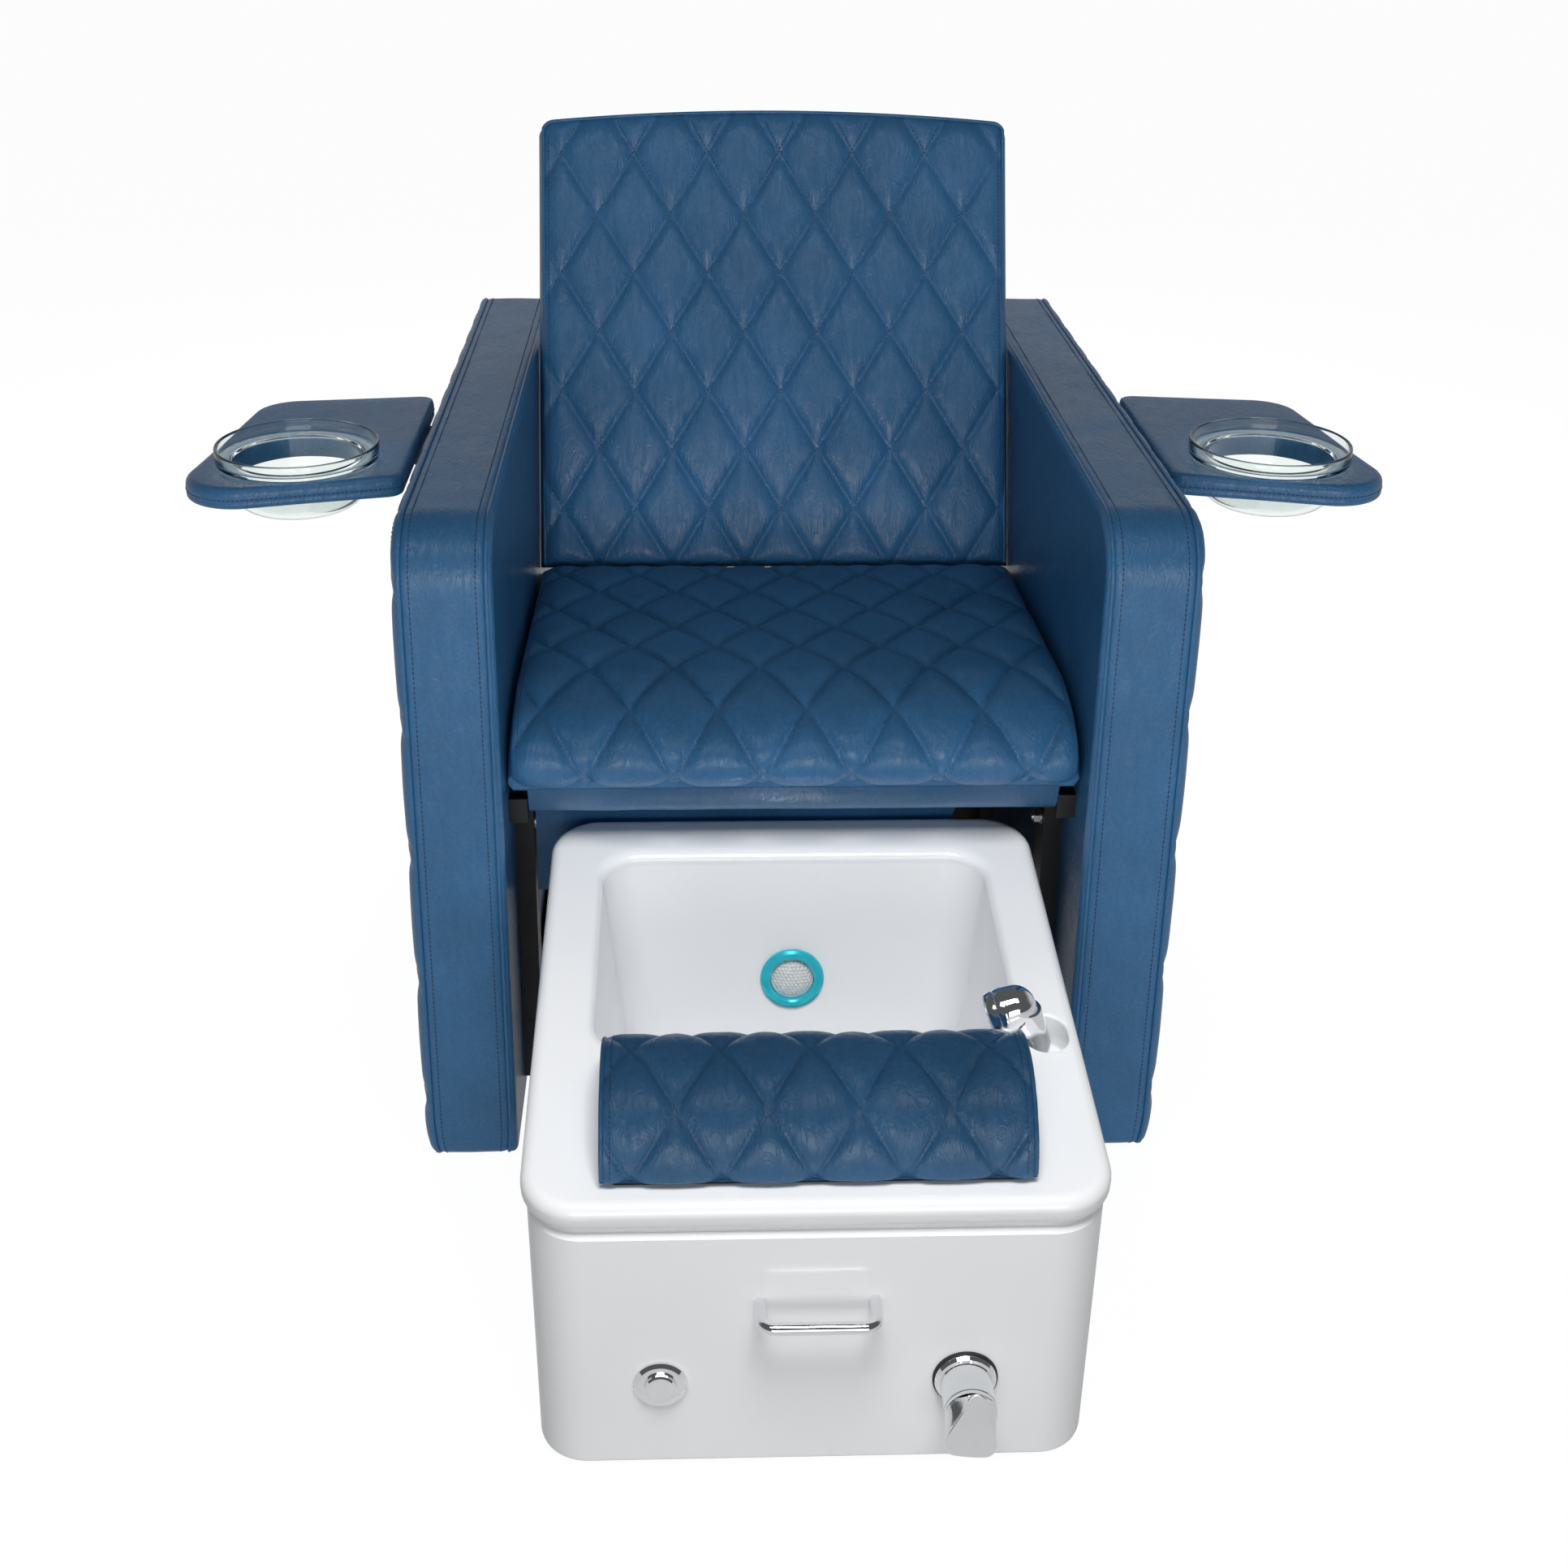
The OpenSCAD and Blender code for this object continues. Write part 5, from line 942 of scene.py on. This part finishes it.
foot_rear = RIM_Y + TUB_L - 18
basin_y = (BASIN_FRONT, RIM_L - BASIN_REAR)
floor_w, f0, f1 = BASIN_W - 50, *FLOOR_Y
rings = [level_ring(TUB_W - 26, TUB_FACE + 3, foot_rear - 3, 43, 8),
         level_ring(TUB_W - 21.5, TUB_FACE + 0.8, foot_rear - 0.8, 45, 9),
         level_ring(TUB_W - 20, TUB_FACE, foot_rear, 46, 11.5),
         rim_ring(TUB_W - 10, rim_start(TUB_FACE, -36), RIM_L - 6, 50, -36)]
for inset, lift in ((4.9, -31.5), (3.9, -28), (2.2, -25.2), (0.8, -22.8), (0.1, -20), (0.0, -16)):
    rings.append(rim_ring(TUB_W - 2 * inset, inset, RIM_L - inset, 52 - inset * 0.6, lift))
for c, s in bends(9):
    rings.append(rim_ring(TUB_W - 24 * c, 12 * c, RIM_L - 12 * c, 52 - 12 * c, -12 * (1 - s)))
rings.append(rim_ring(TUB_W - 2 * 13, 13, RIM_L - 13, 40, 0))
rings.append(rim_ring(BASIN_W + 22, basin_y[0] - 11, basin_y[1] + 15, 47, 0))
for c, s in bends(8):
    f = 1 - s
    rings.append(rim_ring(BASIN_W + 20 * f, basin_y[0] - 10 * f, basin_y[1] + 14 * f, 40 + 6 * f, -10 * c))
rings.append(rim_ring(BASIN_W - 0.8, basin_y[0] + 0.4, basin_y[1] - 0.4, 40, -14))
rings.append(level_ring(floor_w + 0.6, f0 - 0.3, f1 + 0.3, 36, BASIN_FLOOR + KNEE + 4))
for c, s in bends(9):
    rings.append(level_ring(floor_w - 40 * c, f0 + 20 * c, f1 - 20 * c, 36 - 12 * c,
                            BASIN_FLOOR + KNEE * (1 - s)))
tub = loft("tub_moulding", rings, "acrylic")

WALL = 6.0
cavity = loft("cavity", [level_ring(TUB_W - 32, TUB_FACE + 6, foot_rear - 6, 40, 0),
                         rim_ring(TUB_W - 22, rim_start(TUB_FACE + 6, -8), RIM_L - 12, 44, -8)], "acrylic")
cut(cavity, loft("grown", [rim_ring(BASIN_W + 2 * WALL, basin_y[0] - WALL, basin_y[1] + WALL, 46, 4),
                           level_ring(floor_w + 2 * WALL, f0 - WALL, f1 + WALL, 42, BASIN_FLOOR + KNEE),
                           level_ring(floor_w - 40, f0 + 20, f1 - 20, 24, BASIN_FLOOR - WALL)], "acrylic"))


def stadium(r, z, straight=3.5, n=20):
    """Outline of the sprayer's pocket."""
    a = np.linspace(0, math.pi, n)
    p = [(RECESS[0] + k * r * math.cos(q), RECESS[1] + k * (straight + r * math.sin(q)), z)
         for k in (1, -1) for q in a]
    return np.array(p)


cut(cavity, loft("block", [stadium(25.5, RECESS[2] - 4), stadium(25.5, 400)], "acrylic"))
cut(tub, cavity)
flange_out = (TUB_W - 24, TUB_FACE + 2, foot_rear - 2, 44)
flange_in = (TUB_W - 20 - 44, TUB_FACE + 22, foot_rear - 22, 30)
loft("tub_flange", [level_ring(*flange_out, 34), level_ring(*flange_out, 40), level_ring(*flange_in, 40),
                    level_ring(*flange_in, 34)], "acrylic", "tub", closed=True, sharp=40)

# pocket of the hand sprayer, with a rounded lip
pocket = [stadium(17.5, RECESS[2]), stadium(20.3, RECESS[2] + 1.2), stadium(21.5, RECESS[2] + 4)]
for c, s in bends(7):
    q = stadium(21.5 + 3.2 * c, 0)
    q[:, 2] = TUB_FRONT_H + (q[:, 1] - RIM_Y) * math.tan(RIM_A) - 3.2 * (1 - s)
    pocket.append(q)
q = q.copy()
q[:, :2] = RECESS[:2] + (q[:, :2] - RECESS[:2]) * 1.001
q[:, 2] += 25
cut(tub, loft("pocket", pocket + [q], "acrylic"))

# bores: sprayer's socket, push button, mixer, jet and drain
jet_axis = (0, -math.cos(JET_LEAN), math.sin(JET_LEAN))
for at, axis, r, l0, l1 in (((221, RECESS[1], RECESS[2]), (0, 0, 1), 13.05, -6, 4),
                            ((BUTTON_X, TUB_FACE, FITTING_Z), (0, -1, 0), 17, -16, 10),
                            ((MIXER_X, TUB_FACE, FITTING_Z), (0, -1, 0), 17, -16, 10),
                            ((0, JET_Y, JET_Z), jet_axis, 25.05, -20, 12),
                            ((0, (f0 + f1) / 2, BASIN_FLOOR), (0, 0, 1), 19.05, -10, 10)):
    cut(tub, lathe("rod", [(r, l0), (r, l1)], place(at, axis), "acrylic", n=64))
dress(tub, "acrylic", "tub", replaces="tub_shell", sharp=32, weighted=True)


# ------------------------------------------------------------------ sprayer and jet lens
def fused(name, parts, voxel, rounds):
    """One smooth skin round several overlapping solids."""
    bm = bmesh.new()
    for part in parts:
        bm.from_mesh(part.data)
        bpy.data.objects.remove(part)
    me = bpy.data.meshes.new(name)
    bm.to_mesh(me)
    bm.free()
    ob = added(name, me)
    m = ob.modifiers.new("skin", "REMESH")
    m.mode, m.voxel_size = "VOXEL", voxel
    m = ob.modifiers.new("soft", "SMOOTH")
    m.factor, m.iterations = 0.5, rounds
    settle(ob)
    return ob


HEAD_TILT = math.radians(111)
head = place((RECESS[0] - 55, RECESS[1], RECESS[2] + 51), (-math.sin(HEAD_TILT), 0, math.cos(HEAD_TILT)),
             (0, 1, 0))
stem = place((RECESS[0] - 7, RECESS[1], RECESS[2]), (0, 0, 1))
ball = [(max(0.3, 20.8 * math.sin(a)), -25 - 20.8 * math.cos(a)) for a in np.linspace(0.02, math.pi - 0.02, 24)]
neck = [circle(12.5, z, 48) for z in (3.3, 12, 22)]
for t in (0.25, 0.5, 0.75, 1.0):                     # widens and bends over into the head
    neck.append(circle(12.5 + 6.5 * t, 24 + 36 * t, 48) - (18 * t, 0, 0))
skin = fused("sprayer", [loft("neck", [apply(stem, q) for q in neck], "chrome"),
                         lathe("dome", ball, head, "chrome", n=64),
                         lathe("barrel", [(20.8, -26), (21.6, -19), (21.8, -16)], head, "chrome", n=64),
                         lathe("stem", [(10, -12), (10, 6)], stem, "chrome", n=48)], 0.0007, 10)
bm = bmesh.new()
bm.from_mesh(skin.data)
rims = [(18.6, -3.4), (18.6, -0.6), (19.0, -0.1), (19.6, 0.0), (20.2, -0.3), (20.6, -0.9), (21.5, -7.6),
        (21.4, -8.1), (20.7, -8.5), (20.7, -9.2), (21.6, -9.7), (22.0, -10.3), (22.0, -16.9), (21.7, -17.7),
        (20.9, -18.1)]
for prof in (rims, [(18.7, -3.2), (0.2, -3.2)]):
    part = lathe("rims", prof, head, "chrome", caps=False)
    bm.from_mesh(part.data)
    bpy.data.objects.remove(part)
bm.to_mesh(skin.data)
bm.free()
dress(skin, "chrome", "hand_sprayer", replaces="sprayer_body", sharp=40)

# hobnail lens of the jet: a low dome covered with small domes
jet, n, pitch = place((0, JET_Y, JET_Z), jet_axis), 200, 4.3
R, A = (g.ravel() for g in np.meshgrid(np.linspace(0, JET_R, 70), turns(n), indexing="ij"))
X, Y = R * np.cos(A), R * np.sin(A)
near = np.full(len(X), 99.0)
for i in range(-7, 8):
    for j in range(-7, 8):
        near = np.minimum(near, np.hypot(X - (i + 0.5 * (j % 2)) * pitch, Y - j * pitch * 0.866))
dome_r = (23.5 ** 2 + 49) / 14
Z = -2 + 7 - dome_r + np.sqrt(dome_r ** 2 - X ** 2 - Y ** 2)
Z = Z - 1.3 * (near / (pitch / 2)) ** 2 * np.clip((JET_R - R) / 2, 0, 1)
low = len(X) - n
faces = cells(70, n, wrap=True)[n:] + [[n + j, n + (j + 1) % n, 0] for j in range(n)]
faces += [[low + j, low + (j + 1) % n, len(X) + (j + 1) % n, len(X) + j] for j in range(n)]
faces.append([len(X) + j for j in range(n)])
piece("jet_hobnail_lens", apply(jet, np.concatenate([np.stack([X, Y, Z], 1), circle(JET_R, -5.5, n)])), faces,
      "lens", "tub", replaces="jet_lens", sharp=60)

# ------------------------------------------------------------------ mixer lever
LEVER_OUT, LEVER_TOP, LEVER_DROP, LEVER_BACK, MIXER_R = 64.0, 31.5, 28.5, 43.2, 23.3
FACE_Z = 53.2                        # at the lever's top edge, in front of the hinge lug
lean = math.atan((LEVER_OUT - FACE_Z) / (LEVER_TOP + LEVER_DROP))
cos, sin = math.cos(math.radians(-7)), math.sin(math.radians(-7))
spin = np.eye(4)                     # the mixer is turned a little, as in the photo
spin[:2, :2] = [[cos, -sin], [sin, cos]]
turret = place((MIXER_X, TUB_FACE, FITTING_Z), (0, -1, 0)) @ spin
foot = (LEVER_TOP + LEVER_DROP) / math.cos(lean)
half = [(9.5 * math.sin(a), 9.5 * math.cos(a) - 9.5) for a in np.linspace(0, 1.4, 12)]
half += [(9.4 + 14.1 * (0.3 * t + 0.7 * t * t * (3 - 2 * t)), -8 - (foot - 19) * t)
         for t in np.linspace(0, 1, 22)[1:]]
half += [(12.5 + 11 * math.cos(a), 11 - foot - 11 * math.sin(a)) for a in np.linspace(0.1, QUARTER, 12)]
half.append((6, -foot - 0.4))
outline = np.array(half + [(0, -foot - 0.5)] + [(-x, y) for x, y in reversed(half[1:])] + [half[0]])
run, n = run_along(outline), 144
at = np.linspace(0, run[-1], n, endpoint=False)
outline = np.stack([np.interp(at, run, outline[:, 0]), np.interp(at, run, outline[:, 1])], 1)
d = np.roll(outline, -1, 0) - np.roll(outline, 1, 0)
inward = np.stack([d[:, 1], -d[:, 0]], 1) / np.linalg.norm(d, axis=1)[:, None]


def lever_face(inset, deep):
    q = outline + inward * inset
    return np.stack([q[:, 0], LEVER_TOP + q[:, 1] * math.cos(lean) - deep * math.sin(lean),
                     FACE_Z - q[:, 1] * math.sin(lean) - deep * math.cos(lean)], 1)


def lever_round(r, z):
    return circle(r, z, n)[:, [1, 0, 2]]             # starts at the top


def turret_loft(name, rings):
    return loft(name, [apply(turret, q) for q in rings], "chrome")


rings = [lever_round(MIXER_R - 0.6, LEVER_BACK), lever_round(MIXER_R, LEVER_BACK + 0.6)]
rings += [lever_round(MIXER_R, LEVER_BACK + 1) * (1 - t) + lever_face(0, 1.6) * t
          for t in np.linspace(0, 1, 9)[1:]]
rings += [lever_face(i, d) for i, d in ((0.05, 1.0), (0.25, 0.5), (0.6, 0.15), (1.1, 0.0))]
lever = turret_loft("mixer_paddle", rings)
cut(lever, turret_loft("relief", [[(x, 16 + a * 0.469 + b * 0.883, LEVER_BACK - a * 0.883 + b * 0.469)
                                   for a, b in ((0, -30), (30, -30), (30, 30), (0, 30))] for x in (-40, 40)]))
cut(lever, turret_loft("lug", [[(x, y, z) for y, z in ((8, 42), (8, 52.1), (17.4, 52.1), (20, 51.0), (20, 42))]
                               for x in (-5.6, 5.6)]))
dress(lever, "chrome", "mixer_handle", replaces="mixer_lever", sharp=35, weighted=True)

# ------------------------------------------------------------------ footrest
rest_size = (80.0, 136.0)
rest_arc = REST_R * math.pi
rest_crossing = (-4.0, rest_arc * 0.43)
low = rest_arc * 4 / 180


def rest_surface(u, v):
    """u across, v round the half cylinder from its rear foot."""
    a = v / REST_R
    side = edge_fall(REST_L / 2 - np.abs(u), 16)
    q = quilted(u - rest_crossing[0], v - rest_crossing[1], rest_size, reach=17, seed=5)
    out = REST_R - 6 * (1 - side) - PILLOW * (1 - q) * side + 0.5 * noise(u / 70, v / 60, 8)
    out = np.minimum(out, REST_R + 0.6)
    return on_rim(u, REST_Y + out * np.cos(a), np.maximum(2 + (out - 2) * np.sin(a), REST_BASE))


def rest_base(edge, u, v):
    along = math.pi * (v - vv[0]) / (vv[-1] - vv[0])
    return on_rim(u, REST_Y + 0.97 * REST_R * np.cos(along), np.full(len(u), REST_BASE - 0.1))


uu = lattice(-REST_L / 2, REST_L / 2, rest_crossing[0], rest_size[0] / 32)
vv = lattice(low, rest_arc - low, rest_crossing[1], rest_size[1] / 32, (2, 5))
pad("footrest_pad", uu, vv, rest_size, rest_surface, rest_base, "tub", walls=4, replaces="footrest_bolster",
    fill=0.9)
runs = seam_runs(rest_surface, (-REST_L / 2 + 12, low + 5), (REST_L / 2 - 12, rest_arc - low - 3),
                 rest_crossing, rest_size, REST_STITCH)
runs += side_rows(rest_surface, REST_L / 2 - 9, np.arange(low + 4, rest_arc - low - 2, 0.8), REST_STITCH)
v = np.arange(low + 3, rest_arc - low - 2, 3.0)
for side, word in ((-1, "left"), (1, "right")):
    edge = rest_surface(np.full(len(v), side * (REST_L / 2 - 1.5)), v)
    piping(f"footrest_piping_{word}", edge, 2.3, "tub")
thread("footrest_stitches", runs, "tub")

# ------------------------------------------------------------------ camera
# fitted to the photo: angles in radians, place in row metres, focal length and shift in its pixels
YAW, PITCH, ROLL = -0.0375, 0.3823, 0.0099
PICTURE, FOCAL, SHIFT = 1932, 2415.4, (30.3, -253.0)
right = np.array([math.cos(YAW), math.sin(YAW), 0])
level = np.array([-math.sin(YAW), math.cos(YAW), 0])
up_z = np.array([0, 0, 1.0])
ahead = math.cos(PITCH) * level - math.sin(PITCH) * up_z
upward = math.sin(PITCH) * level + math.cos(PITCH) * up_z
r = math.cos(ROLL) * right + math.sin(ROLL) * upward
u = -math.sin(ROLL) * right + math.cos(ROLL) * upward
cam = bpy.data.cameras.new("camera")
scene.camera = added("camera", cam)
scene.camera.matrix_world = Matrix([[r[0], u[0], -ahead[0], -0.1087], [r[1], u[1], -ahead[1], -2.0243],
                                    [r[2], u[2], -ahead[2], 1.4201], [0, 0, 0, 1]])
cam.sensor_width, cam.sensor_fit = 36.0, "HORIZONTAL"
cam.lens = FOCAL / PICTURE * 36
cam.shift_x, cam.shift_y = SHIFT[0] / PICTURE, SHIFT[1] / PICTURE
cam.clip_start, cam.clip_end = 0.05, 100


# ------------------------------------------------------------------ light
def area(name, at, aim, size, power, size_y=None, only=None):
    """A lamp, which lights only some pieces where they are given, as a shielded one does."""
    l = bpy.data.lights.new(name, "AREA")
    l.shape, l.size, l.size_y, l.energy = "RECTANGLE", size, size_y or size, power
    o = added(name, l)
    o.location = at
    o.rotation_euler = (Vector(aim) - Vector(at)).to_track_quat("-Z", "Y").to_euler()
    if only:
        o.light_linking.receiver_collection = bpy.data.collections.new(name)
        for ob in only:
            o.light_linking.receiver_collection.objects.link(ob)
    return o


meshes = [o for o in scene.objects if o.type == "MESH"]
upholstery = [o for o in meshes if o.data.materials and o.data.materials[0] in (M["leather"], M["thread"])
              and not o.name.startswith("footrest")]
tub_group = [o for o in meshes if o.name.startswith(
    ("tub_", "jet_", "pull", "button", "mixer", "sprayer", "drain"))]
area("front", (0.1, -4.4, 0.85), (0, 0, 0.55), 3.0, 43, size_y=1.5)
area("chair", (0.1, -4.4, 0.85), (0, 0, 0.55), 3.0, 56, size_y=1.5, only=upholstery)
area("behind", (0, 2.7, 2.7), (0, -0.3, 0.3), 1.6, 26).visible_glossy = False
area("over left", (-0.75, -1.7, 2.9), (0, -0.3, 0.5), 0.7, 5.6, size_y=1.1)
area("over right", (0.55, -1.7, 2.9), (0, -0.3, 0.5), 0.7, 5.6, size_y=1.1)
area("tub", (0, -1.5, 2.55), (0, -0.35, 0.3), 0.8, 45, only=tub_group)


def maths(op, a, b):
    n = node(a.id_data, "Math", operation=op)
    for k, v in enumerate((a, b)):
        if hasattr(v, "links"):
            link(v, n.inputs[k])
        else:
            n.inputs[k].default_value = v
    return n.outputs[0]


def seen_by(nt, glossy):
    """1 for rays from the camera or through glass, and glossy rays times what is given."""
    rays = node(nt, "LightPath").outputs
    direct = maths("MAXIMUM", rays["Is Camera Ray"], rays["Is Transmission Ray"])
    return maths("MAXIMUM", direct, maths("MULTIPLY", rays["Is Glossy Ray"], glossy))


def mixed(share, a, b, end):
    mix = node(share.id_data, "MixShader")
    for k, source in enumerate((share, a, b)):
        link(source, mix.inputs[k])
    link(mix.outputs[0], end.inputs[0])


# the surroundings: dim light, and white where they are seen, also low and behind in reflections
world = bpy.data.worlds.new("studio")
scene.world = world
world.use_nodes = True
nt = world.node_tree
nt.nodes.clear()
xyz = node(nt, "SeparateXYZ")
link(node(nt, "TexCoord").outputs["Generated"], xyz.inputs[0])
low_band = node(nt, "MapRange", clamp=True, **{"From Min": 0.25, "From Max": 0.6, "To Min": 1.0, "To Max": 0.0})
behind = node(nt, "MapRange", clamp=True, **{"From Min": -0.1, "From Max": 0.35})
link(xyz.outputs["Z"], low_band.inputs["Value"])
link(xyz.outputs["Y"], behind.inputs["Value"])
half_band = maths("MULTIPLY", low_band.outputs["Result"], 0.5)
mixed(seen_by(nt, maths("MULTIPLY", half_band, behind.outputs["Result"])),
      node(nt, "Background", Strength=0.1, Color=(0.93, 0.96, 1.0, 1)).outputs[0],
      node(nt, "Background", Strength=1.0, Color=(1, 1, 1, 1)).outputs[0], node(nt, "OutputWorld"))

# ------------------------------------------------------------------ floor
floor_mat, nt, p, _ = material("floor")
sockets(p, **{"Base Color": (0.9, 0.9, 0.9, 1), "Roughness": 0.9})
mixed(maths("MULTIPLY", seen_by(nt, 0.42), 0.82), p.outputs[0],
      node(nt, "Emission", Strength=1.17).outputs[0], nt.nodes["Material Output"])
me = bpy.data.meshes.new("floor")
me.from_pydata([(-30, -30, 0), (30, -30, 0), (30, 30, 0), (-30, 30, 0)], [], [(0, 1, 2, 3)])
me.materials.append(floor_mat)
added("floor", me)
scene.view_settings.view_transform = "Standard"

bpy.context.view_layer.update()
for soft in (apron, hem):
    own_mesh(soft)
